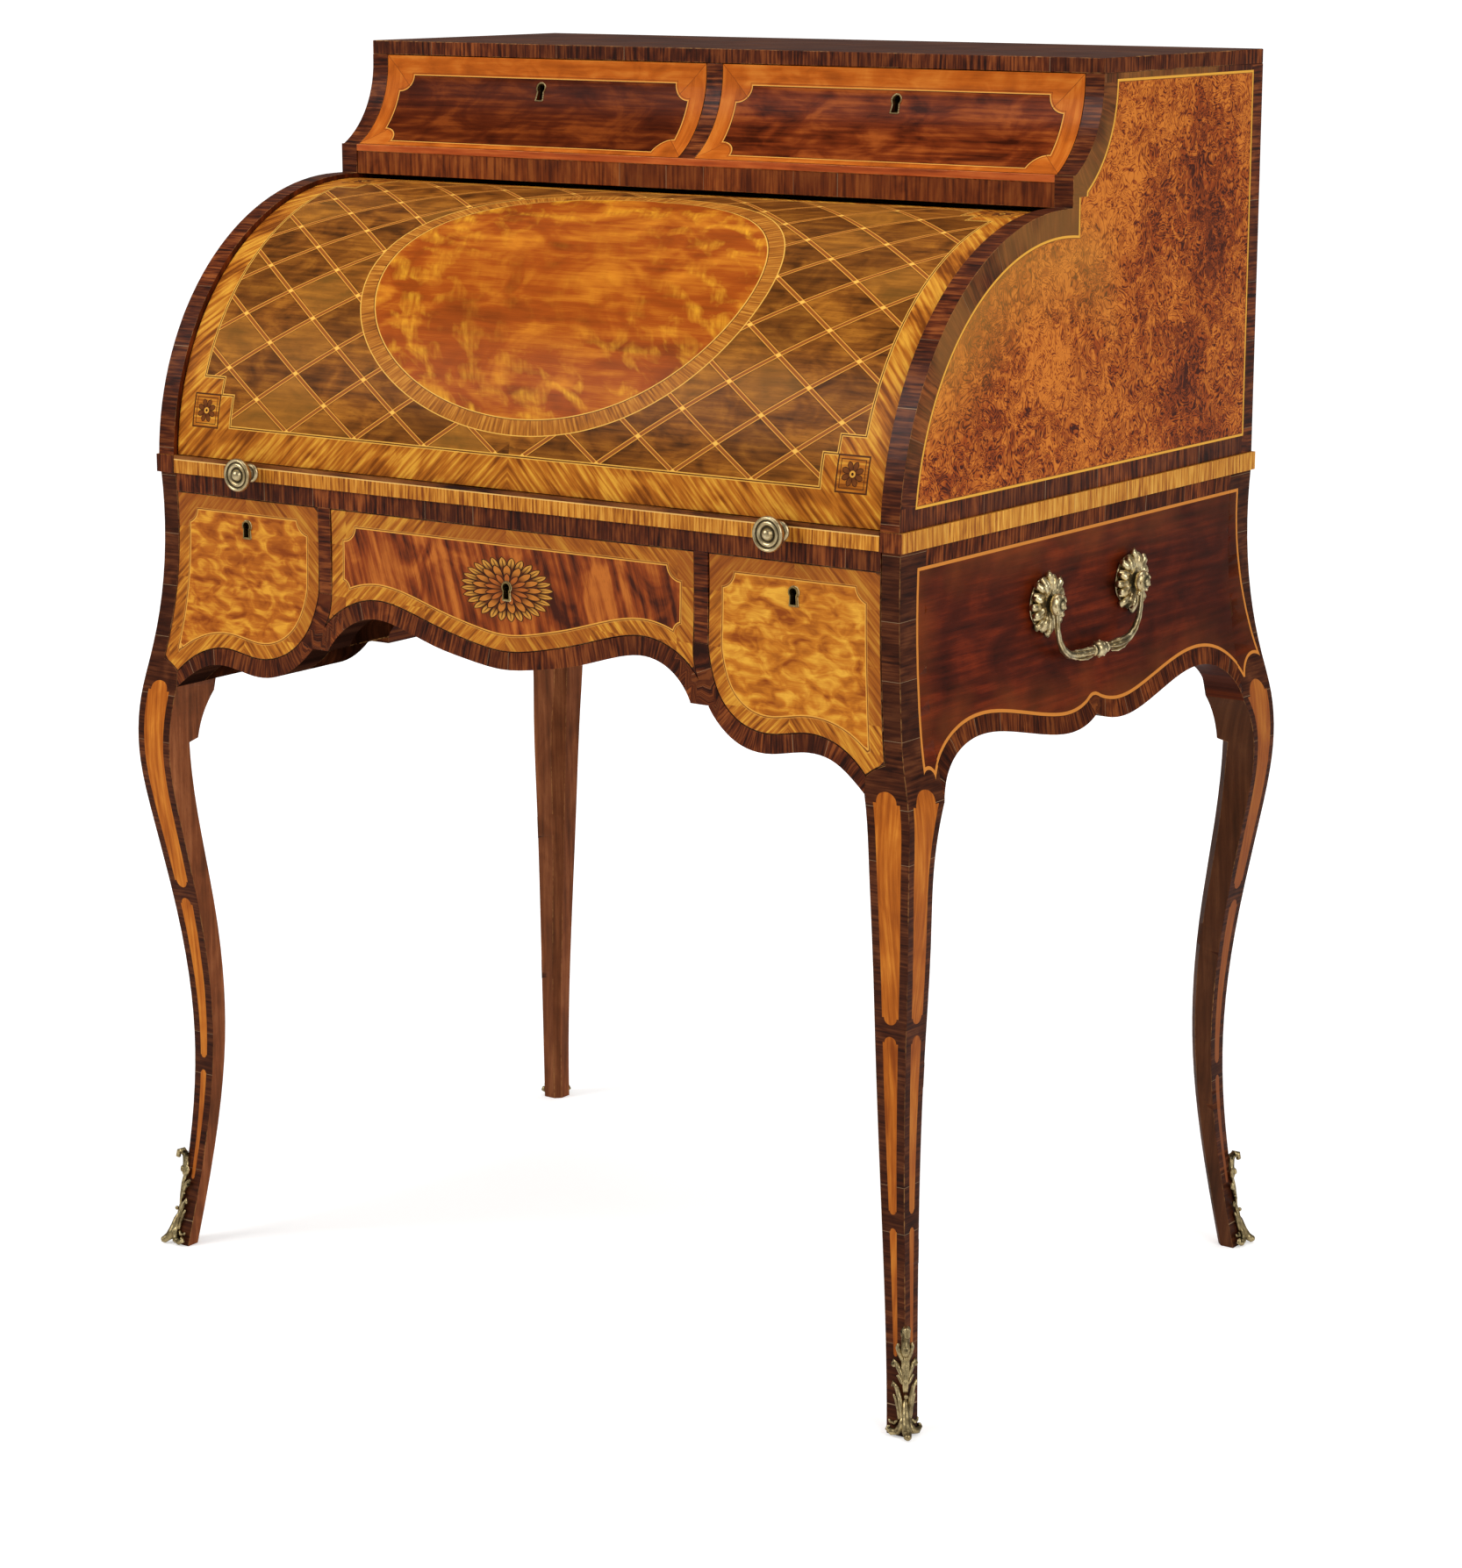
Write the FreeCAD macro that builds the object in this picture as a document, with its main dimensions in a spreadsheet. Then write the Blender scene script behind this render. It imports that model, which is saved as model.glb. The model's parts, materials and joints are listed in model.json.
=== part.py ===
import FreeCAD, Part
import math
import os
import re
from types import SimpleNamespace

import Sketcher
from FreeCAD import Vector

# A cylinder desk on four cabriole legs: three drawers in a swelling lower case, a writing slide in
# the waist, a quarter-round cylinder over a nest of pigeonholes, and two hollow-fronted drawers above.
# Millimetres, +Z up, the front faces -Y, and the origin is on the floor under the middle of the desk.

doc = FreeCAD.newDocument("cylinder_desk")

SIZES = {
    # Whole desk, measured over the waist band
    "waist_half": 374.7,
    "depth": 550.0,
    "height": 1040.0,
    "band_height": 15.0,
    "band_lap": 2.4,
    "side_wall": 17.1,
    # Legs and posts
    "knee_across": 21.0,
    "knee_forward": 16.8,
    "leg_thick": 40.0,
    "stile": 16.5,
    "post_depth": 38.0,
    "post_gap": 1.3,
    "knee_width": 22.3,
    # Lower case
    "rail_height": 15.4,
    "rail_depth": 60.0,
    "apron_drop": 166.1,
    "side_drop": 192.5,
    "front_thick": 24.0,
    "backing_depth": 49.0,
    "back_thick": 10.0,
    "back_inset": 2.0,
    "back_drop": 150.0,
    "divider_thick": 13.0,
    "guide_thick": 12.0,
    "inner_guide": 16.0,
    "guide_drop": 138.5,
    "runner_width": 14.0,
    "runner_height": 9.0,
    # Lower drawers
    "front_fit": 0.5,
    "run_fit": 0.3,
    "drawer_side": 8.0,
    "drawer_bottom": 5.0,
    "drawer_groove": 4.0,
    "side_floor_drop": 126.5,
    "mid_floor_drop": 83.5,
    "drawer_head": 6.0,
    "drawer_sway": 1.0,
    "drawer_stop": 30.0,
    "backing_step": 4.3,
    "side_key_drop": 23.0,
    "mid_key_drop": 47.0,
    # Locks
    "key_radius": 3.4,
    "key_tail": 9.5,
    "key_foot": 2.8,
    "liner_wall": 1.1,
    "liner_proud": 0.6,
    "lock_half": 19.0,
    "lock_thick": 10.0,
    "lock_below": 11.5,
    "lock_head": 1.5,
    "bolt_half": 8.0,
    "bolt_thick": 4.0,
    "bolt_throw": 8.0,
    "bolt_fit": 0.3,
    # Writing slide
    "lipping": 15.0,
    "slide_reach": 430.0,
    "slide_relief": 0.3,
    "leather_margin": 41.2,
    "leather_front": 40.0,
    "leather_depth": 205.0,
    "leather_thick": 1.5,
    "knob_inset": 107.7,
    "knob_reach": 22.0,
    "knob_radius": 12.5,
    "knob_neck": 5.0,
    "knob_rim": 4.5,
    "knob_foot": 8.0,
    "knob_foot_thick": 3.0,
    "knob_dish": 1.6,
    "knob_eye": 4.5,
    "knob_tenon": 3.5,
    "knob_tenon_length": 10.0,
    # Cylinder and its linkage
    "arc_radius": 231.0,
    "arc_set": 0.4,
    "pivot_drop": 8.5,
    "shell_set": 4.0,
    "shell_thick": 14.0,
    "shell_gap": 1.2,
    "shell_foot": 0.5,
    "trammel_gap": 6.5,
    "trammel_thick": 4.5,
    "trammel_rim": 12.0,
    "spoke_width": 16.0,
    "trammel_seat": 0.1,
    "hub_radius": 20.0,
    "pivot_radius": 4.0,
    "pivot_length": 11.0,
    "pivot_fit": 0.05,
    "lever_length": 140.0,
    "lever_end": 11.0,
    "lever_pin": 5.0,
    "bracket_gap": 4.0,
    "bracket_thick": 4.0,
    "bracket_wall": 8.0,
    "slot_width": 20.0,
    "slot_spare": 6.0,
    "bed_gap": 2.2,
    "slide_gap": 3.0,
    "guide_front_gap": 56.4,
    "guide_rear_gap": 38.6,
    # Upper case
    "top_thick": 12.0,
    "upper_height": 76.0,
    "crown_gap": 4.2,
    "ledge_set_back": 11.0,
    "ledge_depth": 44.4,
    "ledge_thick": 20.8,
    "ledge_lip": 6.0,
    "ledge_set": 1.0,
    "cavetto_lip": 6.0,
    "upper_front_thick": 18.0,
    "upper_divider": 16.0,
    "upper_key_drop": 25.0,
    "upper_drawer_stop": 6.0,
    # Pigeonholes
    "nest_gap": 18.2,
    "nest_set_back": 58.6,
    "nest_depth": 110.0,
    "nest_floor": 6.5,
    "nest_height": 101.0,
    "nest_board": 6.0,
    "nest_shelf": 46.0,
    "nest_lap": 4.0,
    "nest_floor_depth": 136.0,
    "nest_drawer_front": 9.0,
    "nest_drawer_wall": 5.0,
    "nest_knob": 6.0,
    "nest_knob_reach": 13.0,
    # Side handles
    "handle_drop": 66.5,
    "handle_half": 66.5,
    "rosette_radius": 26.5,
    "rosette_valley": 21.0,
    "rosette_thick": 4.5,
    "rosette_bed": 2.0,
    "dome_radius": 17.0,
    "dome_top": 8.5,
    "dome_height": 6.0,
    "boss_radius": 8.0,
    "boss_reach": 19.0,
    "eye_reach": 12.5,
    "bail_radius": 3.4,
    "eye_fit": 0.1,
    "bail_tail": 3.0,
    "bail_neck": 15.0,
    "bail_bend": 9.0,
    "bail_drop": 45.0,
    "bail_corner": 24.0,
    "knop_radius": 6.0,
    "knop_half": 12.0,
    # Foot mounts
    "sabot_height": 88.0,
    "sabot_shoulder": 42.0,
    "sabot_wall": 2.6,
    "sabot_reach": 15.0,
    "toe_radius": 6.5,
    "toe_half": 6.5,
    "overrun": 25.0,
}

# The lever hangs this far back from upright when the desk is closed, and as far forward when it is open
lever_lean_deg = 42.5
divider_share = 0.495
divider_foot_share = 0.43
cavetto_share = 1.143
nest_bay_share = 0.356

# Planes and places worked out from the sizes
PLACES = {
    "front": "-(depth - band_lap + knee_forward - knob_reach) / 2",
    "back": "front + depth",
    "middle": "front + depth / 2",
    "case_front": "front + band_lap",
    "case_back": "back - band_lap",
    "case_half": "waist_half - band_lap",
    "wall_in": "case_half - side_wall",
    "upper_rise": "arc_radius - pivot_drop + crown_gap + ledge_thick + upper_height + top_thick",
    "waist_top": "height - upper_rise",
    "waist_under": "waist_top - band_height",
    "rail_under": "waist_under - rail_height",
    "rail_back": "front + rail_depth",
    "post_in": "case_half - stile",
    "post_back": "front + post_depth",
    "rear_post": "back - post_depth",
    "knee_in": "case_half - knee_width",
    "apron_low": "rail_under - apron_drop",
    "side_low": "waist_under - side_drop",
    "front_rear": "front + front_thick",
    "backing_rear": "front_rear + backing_depth",
    "back_out": "case_back - back_inset",
    "back_in": "back_out - back_thick",
    "divider_half": f"case_half * {divider_share}",
    "divider_out": "divider_half + divider_thick",
    "rail_half": "min(post_in; wall_in) - run_fit",
    "guide_foot": "waist_under - guide_drop",
    "side_drawer_floor": "waist_under - side_floor_drop",
    "mid_drawer_floor": "waist_under - mid_floor_drop",
    "side_key_x": "(divider_out + post_in) / 2",
    "trammel_out": "wall_in - trammel_gap",
    "trammel_in": "trammel_out - trammel_thick",
    "bracket_out": "trammel_in - bracket_gap",
    "bracket_in": "bracket_out - bracket_thick",
    "bed_half": "bracket_in - bed_gap",
    "rear_post_thick": "case_half - bed_half - post_gap",
    "guide_in": "bed_half - guide_thick",
    "slide_half": "trammel_in - slide_gap",
    "leather_half": "slide_half - leather_margin",
    "knob_x": "waist_half - knob_inset",
    "pivot_y": "front + arc_set + arc_radius",
    "pivot_z": "waist_top - pivot_drop",
    "shell_radius": "arc_radius - shell_set",
    "shell_half": "wall_in - shell_gap",
    "shell_low": "waist_top + shell_foot",
    "lever_y": f"pivot_y + lever_length * sin({lever_lean_deg})",
    "lever_z": f"pivot_z - lever_length * cos({lever_lean_deg})",
    "slot_low": "pivot_z - lever_length - lever_pin - slot_spare",
    "slot_high": "lever_z + lever_pin + slot_spare",
    "lip_rear": "front + lipping",
    "slide_top": "waist_top - slide_relief",
    "slide_rear": "front + slide_reach",
    "top_under": "height - top_thick",
    "ledge_face": "pivot_y + ledge_set_back",
    "top_face": "ledge_face + ledge_depth",
    "ledge_top": "top_under - upper_height",
    "ledge_under": "ledge_top - ledge_thick",
    "cavetto_rise": "upper_height - cavetto_lip",
    "cavetto_radius": f"cavetto_rise * {cavetto_share}",
    "upper_rear": "top_face + upper_front_thick",
    "upper_key_x": "(upper_divider / 2 + wall_in) / 2",
    "upper_key_z": "top_under - upper_key_drop",
    "divider_foot": f"rail_under - apron_drop * {divider_foot_share}",
    "nest_half": "wall_in - nest_gap",
    "nest_bay": f"nest_half * {nest_bay_share}",
    "nest_face": "pivot_y + nest_set_back",
    "nest_rear": "nest_face + nest_depth",
    "nest_base": "waist_top + nest_floor",
    "nest_top": "nest_base + nest_height",
    "shelf_low": "nest_base + nest_shelf",
    "handle_height": "waist_under - handle_drop",
    "handle_low": "handle_height - bail_drop",
}


def full_names(text, local):
    """Write each size or place in a formula with the name of the sheet that holds it."""
    def full(match):
        word = match.group()
        if word in SIZES:
            return "sizes." + word
        if word in PLACES and not local:
            return "places." + word
        return word
    return re.sub(r"[a-z_]+", full, text)


def formula(text):
    return full_names(text, False)


sizes = doc.addObject("Spreadsheet::Sheet", "sizes")
for row, (word, value) in enumerate(SIZES.items(), 1):
    sizes.set(f"A{row}", word)
    sizes.set(f"B{row}", str(value))
    sizes.setAlias(f"B{row}", word)
places = doc.addObject("Spreadsheet::Sheet", "places")
for row, (word, text) in enumerate(PLACES.items(), 1):
    places.set(f"A{row}", word)
    places.set(f"B{row}", "=" + full_names(text, True))
    places.setAlias(f"B{row}", word)
doc.recompute()
at = SimpleNamespace()
for word in SIZES:
    setattr(at, word, float(getattr(sizes, word)))
for word in PLACES:
    setattr(at, word, float(getattr(places, word)))


def worth(text):
    """The value of a formula."""
    return FreeCAD.Units.Quantity(sizes.evalExpression(formula(text))).Value


nodes = {}
X_WAY = Vector(1, 0, 0)
Y_WAY = Vector(0, 1, 0)
Z_WAY = Vector(0, 0, 1)


def keep(label, piece):
    """Name a finished sub-part: its label is its node and its file."""
    piece.Label = label
    nodes[label] = piece
    return piece


def block(x, y, z):
    """A board between pairs of formulas for its low and high faces."""
    board = doc.addObject("Part::Box", "board")
    for size, axis, (low, high) in zip(("Length", "Width", "Height"), "xyz", (x, y, z)):
        board.setExpression(size, formula(f"({high}) - ({low})"))
        board.setExpression(f"Placement.Base.{axis}", formula(low))
    return board


def wide(half):
    """The pair of formulas of a piece that is centred on the desk."""
    return (f"-({half})", half)


def rod(start, way, radius, length):
    """A round bar from a start point along a direction, with formulas for its sizes."""
    bar = doc.addObject("Part::Cylinder", "rod")
    bar.setExpression("Radius", formula(radius))
    bar.setExpression("Height", formula(length))
    bar.Placement = FreeCAD.Placement(Vector(), FreeCAD.Rotation(Z_WAY, way))
    for axis, text in zip("xyz", start):
        bar.setExpression(f"Placement.Base.{axis}", formula(text))
    return bar


def mirrored(source, base=Vector(), normal=X_WAY):
    twin = doc.addObject("Part::Mirroring", "twin")
    twin.Source = source
    twin.Base = base
    twin.Normal = normal
    return twin


def group(pieces):
    """Separate solids that share one node."""
    together = doc.addObject("Part::Compound", "group")
    together.Links = pieces
    return together


def pair(piece):
    return group([piece, mirrored(piece)])


def cut(base, tools):
    result = doc.addObject("Part::Cut", "cut")
    result.Base = base
    result.Tool = tools[0] if len(tools) == 1 else group(tools)
    return result


def fuse(pieces):
    result = doc.addObject("Part::MultiFuse", "fuse")
    result.Shapes = pieces
    return result


def common(pieces):
    result = doc.addObject("Part::MultiCommon", "common")
    result.Shapes = pieces
    return result


def line(first, last):
    return Part.LineSegment(Vector(*first), Vector(*last)).toShape()


def arc(first, via, last):
    return Part.Arc(Vector(*first), Vector(*via), Vector(*last)).toShape()


def curve(points):
    spline = Part.BSplineCurve()
    spline.interpolate([Vector(*point) for point in points])
    return spline.toShape()


def polyline(points):
    return [line(first, last) for first, last in zip(points, points[1:])]


def prism(edges, way, length):
    """Extrude a closed outline along a direction, by a formula's length."""
    outline = doc.addObject("Part::Feature", "outline")
    outline.Shape = Part.Face(Part.Wire(Part.__sortEdges__(edges)))
    solid = doc.addObject("Part::Extrusion", "prism")
    solid.Base = outline
    solid.DirMode = "Custom"
    solid.Dir = way
    solid.Solid = True
    solid.setExpression("LengthFwd", formula(length))
    return solid


def sketch_on(body, role, corners):
    """A closed sketch of straight lines, each corner held by two formulas."""
    sketch = body.newObject("Sketcher::SketchObject", "sketch")
    plane = [item for item in body.Origin.OriginFeatures if item.Role == role][0]
    sketch.AttachmentSupport = [(plane, "")]
    sketch.MapMode = "FlatFace"
    spots = [[worth(text) for text in corner] for corner in corners]
    for first, last in zip(spots, spots[1:] + spots[:1]):
        sketch.addGeometry(Part.LineSegment(Vector(*first, 0), Vector(*last, 0)))
    for side in range(len(spots)):
        sketch.addConstraint(Sketcher.Constraint("Coincident", side, 2, (side + 1) % len(spots), 1))
    for side, (corner, spot) in enumerate(zip(corners, spots)):
        for kind, text, value in zip(("DistanceX", "DistanceY"), corner, spot):
            held = sketch.addConstraint(Sketcher.Constraint(kind, -1, 1, side, 1, value))
            sketch.setExpression(f"Constraints[{held}]", formula(text))
    return sketch


def padded(role, corners, length):
    """A body whose sketch is padded evenly to both sides of its plane."""
    body = doc.addObject("PartDesign::Body", "body")
    pad = body.newObject("PartDesign::Pad", "pad")
    pad.Profile = sketch_on(body, role, corners)
    pad.SideType = "Symmetric"
    pad.setExpression("Length", formula(length))
    return body


def turned(profile):
    """A turned piece: a profile of (distance along the axis, radius) formulas, spun about the axis."""
    body = doc.addObject("PartDesign::Body", "turned")
    spin = body.newObject("PartDesign::Revolution", "spin")
    sketch = sketch_on(body, "YZ_Plane", profile)
    spin.Profile = sketch
    spin.ReferenceAxis = (sketch, ["H_Axis"])
    return body


# Leg templates. Below the case, heights are shares of the way up to the side panel's foot, and the last
# column is the leg's own thickness. Above it, drops are shares of the side panel's height, from the
# waist down. Flares are shares of the knee's throw sideways and forwards.
leg_shares = (
    (0.000, 0.65, 0.12, 0.44),
    (0.161, 0.21, -0.62, 0.46),
    (0.372, -0.08, -1.00, 0.55),
    (0.603, 0.21, -0.42, 0.69),
    (0.785, 0.74, 0.50, 0.81),
    (0.916, 1.00, 1.00, 0.90),
)
knee_shares = (0.985, 0.86, 0.82)
post_shares = (
    (0.824, 0.51, 0.57),
    (0.620, 0.19, 0.21),
    (0.362, -0.02, -0.03),
    (0.000, 0.00, 0.00),
)
chamfer_share = 0.30


def flared(rise, across, forward):
    """A height, and the two outer faces of the leg there."""
    return (rise, at.case_half + across * at.knee_across, at.case_front - forward * at.knee_forward)


outer_rows = [flared(share * at.side_low, across, forward) for share, across, forward, _ in leg_shares]
for drop, across, forward in (knee_shares,) + post_shares:
    outer_rows.append(flared(at.waist_under - drop * at.side_drop, across, forward))
thick_rows = [row[3] * at.leg_thick for row in leg_shares]
post_rows = outer_rows[-len(post_shares):]


def front_curve(y, shift=0.0):
    return curve([(across + shift, y, rise) for rise, across, _ in outer_rows])


def side_curve(x, shift=0.0):
    return curve([(x, forward - shift, rise) for rise, _, forward in outer_rows])


foot_x = outer_rows[0][1]
foot_y = outer_rows[0][2]
far_front = at.front - at.overrun
template_depth = "overrun + depth / 2"
template_y = far_front
template_x = at.case_half - at.leg_thick - at.overrun
template_width = "leg_thick + overrun + knee_across + overrun"


def inner_front_edges(y, top):
    """The leg's inner edge seen from the front, from the foot up to where the apron meets it."""
    points = [(across - thick, y, rise) for (rise, across, _), thick in zip(outer_rows, thick_rows)]
    points.append((at.knee_in, y, at.apron_low))
    edges = [line((foot_x, y, 0), points[0]), curve(points)]
    edges.append(line(points[-1], (at.knee_in, y, top)))
    return edges


tip_share = 0.9217
tip_z = at.rail_under - tip_share * at.apron_drop
shoulder_bulge_share = 0.62


def post_edge_points(y):
    return [(across - at.stile, y, rise) for rise, across, _ in post_rows]


def shoulder_arc(y):
    """The rounded shoulder of the knee under the side drawer's outer corner."""
    start = post_edge_points(y)[0]
    tip = (at.knee_in, y, tip_z)
    via_x = (start[0] + tip[0]) / 2
    via_z = tip[2] + (start[2] - tip[2]) * shoulder_bulge_share
    return arc(start, (via_x, y, via_z), tip)


def leg_front_template():
    """Front leg, front view: a narrow post beside the drawer, a shoulder, and the leg below."""
    y = template_y
    post = post_edge_points(y)
    edges = [front_curve(y), line((at.case_half, y, at.waist_under), post[-1])]
    edges += [curve(post), shoulder_arc(y)]
    edges += inner_front_edges(y, tip_z)
    return prism(edges, Y_WAY, template_depth)


def leg_back_template():
    """Back leg, seen from the front: its inner edge runs beside the outer one all the way up."""
    y = template_y
    thicks = thick_rows + [at.rear_post_thick] * (len(outer_rows) - len(thick_rows))
    inner = [(across - thick, y, rise) for (rise, across, _), thick in zip(outer_rows, thicks)]
    edges = [front_curve(y), line((at.case_half, y, at.waist_under), inner[-1])]
    edges += [curve(inner), line(inner[0], (foot_x, y, 0))]
    return prism(edges, Y_WAY, template_depth)


def leg_side_template():
    """Either leg seen from the side."""
    x = template_x
    points = [(x, forward + thick, rise) for (rise, _, forward), thick in zip(outer_rows, thick_rows)]
    points.append((x, at.post_back, at.side_low))
    top_in = (x, at.post_back, at.waist_under)
    edges = [side_curve(x), line((x, at.case_front, at.waist_under), top_in)]
    edges += [line(top_in, points[-1]), curve(points), line(points[0], (x, foot_y, 0))]
    return prism(edges, X_WAY, template_width)


INWARD = Vector(1, 1, 0).normalize()
OUTWARD = Vector(1, -1, 0).normalize()


def on_diagonal(distance, rise, slide=0.0):
    """A point by its distance outwards along the leg's diagonal, and a slide across it."""
    return OUTWARD * distance + INWARD * slide + Z_WAY * rise


def diagonal_prism(edge, corners, reach):
    """A form seen along the leg's flat inner corner: a shaped edge, then straight lines back to it."""
    across = (foot_x + foot_y) / math.sqrt(2) - worth(reach)
    shaped = [on_diagonal(distance, rise, across) for distance, rise in edge]
    straight = [on_diagonal(distance, rise, across) for distance, rise in corners]
    edges = [curve(shaped)] + polyline([shaped[-1]] + straight + [shaped[0]])
    return prism(edges, INWARD, f"2 * {reach}")


def leg_corner_form():
    """All of the leg outside its flat inner corner, which stops under the case."""
    points = []
    for (rise, across, forward), thick in zip(outer_rows, thick_rows):
        inner = across - forward - (2 - chamfer_share) * thick
        points.append((inner / math.sqrt(2), rise))
    far = max(across - forward for _, across, forward in outer_rows) + at.overrun
    near = points[-1][0] - at.leg_thick * 2
    last = points[-1][1]
    corners = [(near, last + at.overrun), (near, at.waist_under), (far, at.waist_under), (far, 0)]
    return diagonal_prism(points, corners, "3 * leg_thick")


side_template = leg_side_template()
corner_form = leg_corner_form()
front_leg = common([leg_front_template(), side_template, corner_form])
back_leg = common([leg_back_template(), side_template, corner_form])
keep("leg_front_right", front_leg)
keep("leg_front_left", mirrored(front_leg))
back_right = mirrored(back_leg, Vector(0, at.middle, 0), Y_WAY)
keep("leg_back_right", back_right)
keep("leg_back_left", mirrored(back_right))


# Foot mounts: a corner shell with a pointed leaf top and a scroll at the toe, on each leg.
def sabot():
    spread = at.sabot_wall
    x = template_x
    top = at.waist_under
    shell_front = prism(
        [front_curve(template_y, spread),
         line((foot_x + spread, template_y, 0), (template_x, template_y, 0)),
         line((template_x, template_y, 0), (template_x, template_y, top)),
         line((template_x, template_y, top), (at.case_half + spread, template_y, top))],
        Y_WAY, template_depth)
    shell_side = prism(
        [side_curve(x, spread), line((x, foot_y - spread, 0), (x, at.middle, 0)),
         line((x, at.middle, 0), (x, at.middle, top)),
         line((x, at.middle, top), (x, at.case_front - spread, top))],
        X_WAY, template_width)
    corner = (foot_x - foot_y) / math.sqrt(2)
    low = corner - at.sabot_reach
    tip_in = (outer_rows[1][1] - outer_rows[1][2]) / math.sqrt(2) - at.sabot_wall
    leaf_edge = [(low, at.sabot_shoulder), (tip_in, at.sabot_height)]
    leaf = diagonal_prism(leaf_edge, [(corner + at.overrun, at.sabot_height), (corner + at.overrun, 0),
                                      (low, 0)], "leg_thick")
    toe = doc.addObject("Part::Feature", "toe")
    across = (foot_x + foot_y) / math.sqrt(2)
    start = on_diagonal(corner + at.sabot_wall, at.toe_radius, across - at.toe_half)
    toe.Shape = Part.makeCylinder(at.toe_radius, 2 * at.toe_half, start, INWARD)
    return cut(fuse([common([shell_front, shell_side, leaf]), toe]), [front_leg])


sabot_right = sabot()
sabot_back = mirrored(sabot_right, Vector(0, at.middle, 0), Y_WAY)
keep("sabots", group([sabot_right, mirrored(sabot_right), sabot_back, mirrored(sabot_back)]))


# The swelling skin of the lower case: one form for the front and one for a side.
def front_form():
    x = -at.waist_half - at.overrun
    edges = [side_curve(x), line((x, at.case_front, at.waist_under), (x, at.front_rear, at.waist_under)),
             line((x, at.front_rear, at.waist_under), (x, at.front_rear, 0)),
             line((x, at.front_rear, 0), (x, foot_y, 0))]
    return prism(edges, X_WAY, "2 * (waist_half + overrun)")


def side_form():
    y = at.front
    edges = [front_curve(y), line((at.case_half, y, at.waist_under), (at.wall_in, y, at.waist_under)),
             line((at.wall_in, y, at.waist_under), (at.wall_in, y, 0)),
             line((at.wall_in, y, 0), (foot_x, y, 0))]
    return prism(edges, Y_WAY, "depth")


swelling_front = front_form()
swelling_side = side_form()

# Lower sides: the swelling panel between the posts, with a two-lobed lower edge that meets in a point.
# Shares run from the post to the middle of the side, and from the leg's knee up to the waist.
side_edge_shares = ((0.0, 0.0), (0.045, 0.10), (0.16, 0.185), (0.28, 0.208), (0.45, 0.185),
                    (0.70, 0.12), (0.82, 0.104), (0.94, 0.12), (1.0, 0.146))


def lower_side():
    x = at.wall_in - at.overrun
    run = at.middle - at.post_back
    near = [(x, at.post_back + share * run, at.side_low + lift * at.side_drop)
            for share, lift in side_edge_shares]
    far = [(x, 2 * at.middle - y, z) for _, y, z in near]
    top = [near[0], (x, at.post_back, at.waist_under), (x, at.rear_post, at.waist_under), far[0]]
    outline = prism([curve(near), curve(far)] + polyline(top), X_WAY,
                    "side_wall + overrun + knee_across + overrun")
    return common([swelling_side, outline])


side_right = lower_side()
keep("lower_side_right", side_right)
keep("lower_side_left", mirrored(side_right))

# Lower back: a plain board let in between the back posts.
back_board = block(wide("wall_in"), ("back_in", "back_out"), ("waist_under - back_drop", "waist_under"))
keep("lower_back", cut(back_board, [back_right, mirrored(back_right)]))

# Outlines of the front. Shares across the middle are of the space between the dividers, shares at
# the sides run from a divider to the knee, and drops are shares of the apron's whole drop.
side_low_shares = ((1.0, 1.0), (0.91, 0.934), (0.79, 0.873), (0.64, 0.857), (0.42, 0.888),
                   (0.25, 0.868), (0.12, 0.80), (0.03, 0.715))
mid_low_shares = ((1.0, 0.705), (0.955, 0.636), (0.86, 0.556), (0.754, 0.524), (0.60, 0.547),
                  (0.40, 0.612), (0.19, 0.657), (0.0, 0.679))
side_front_shares = ((1.0, tip_share), (0.935, 0.867), (0.80, 0.797), (0.64, 0.773), (0.42, 0.80),
                     (0.25, 0.774), (0.10, 0.67), (0.03, 0.545), (0.0, divider_foot_share))
mid_front_shares = ((1.036, 0.6026), (0.914, 0.488), (0.749, 0.434), (0.59, 0.455), (0.39, 0.518),
                    (0.20, 0.567), (0.0, 0.595))
mid_ear_shares = ((1.0, divider_foot_share), (1.008, 0.52), (1.036, 0.6026))


def side_spots(shares, y):
    run = at.knee_in - at.divider_out
    drop = at.apron_drop
    return [(at.divider_out + along * run, y, at.rail_under - down * drop) for along, down in shares]


def mid_spots(shares, y):
    return [(along * at.divider_half, y, at.rail_under - down * at.apron_drop) for along, down in shares]


def both_ways(spots):
    """A run of points to the middle, carried on as its own mirror image."""
    return spots + [(-x, y, z) for x, y, z in reversed(spots[:-1])]


def flipped(edges):
    return [edge.mirror(Vector(), X_WAY) for edge in edges]


def low_edges(y):
    """The right half of the apron's lower edge, as far as the middle arch."""
    side = side_spots(side_low_shares, y)
    arch = mid_spots(mid_low_shares, y)
    step = at.rail_under - (side_low_shares[-1][1] + mid_low_shares[0][1]) / 2 * at.apron_drop
    steps = [side[-1], (side[-1][0], y, step), (arch[0][0], y, step), arch[0]]
    return [curve(side)] + polyline(steps)


def apron():
    """The shaped apron under the three drawers."""
    y = far_front
    side = side_spots(side_front_shares, y)
    ear = mid_spots(mid_ear_shares, y)
    half = low_edges(y)
    half += [line(side_spots(side_low_shares, y)[0], side[0]), curve(side)]
    half += [line(side[-1], ear[0]), curve(ear)]
    middle = [curve(both_ways(mid_spots(shares, y))) for shares in (mid_low_shares, mid_front_shares)]
    outline = prism(half + flipped(half) + middle, Y_WAY, "overrun + front_thick + overrun")
    return common([swelling_front, outline])


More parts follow.
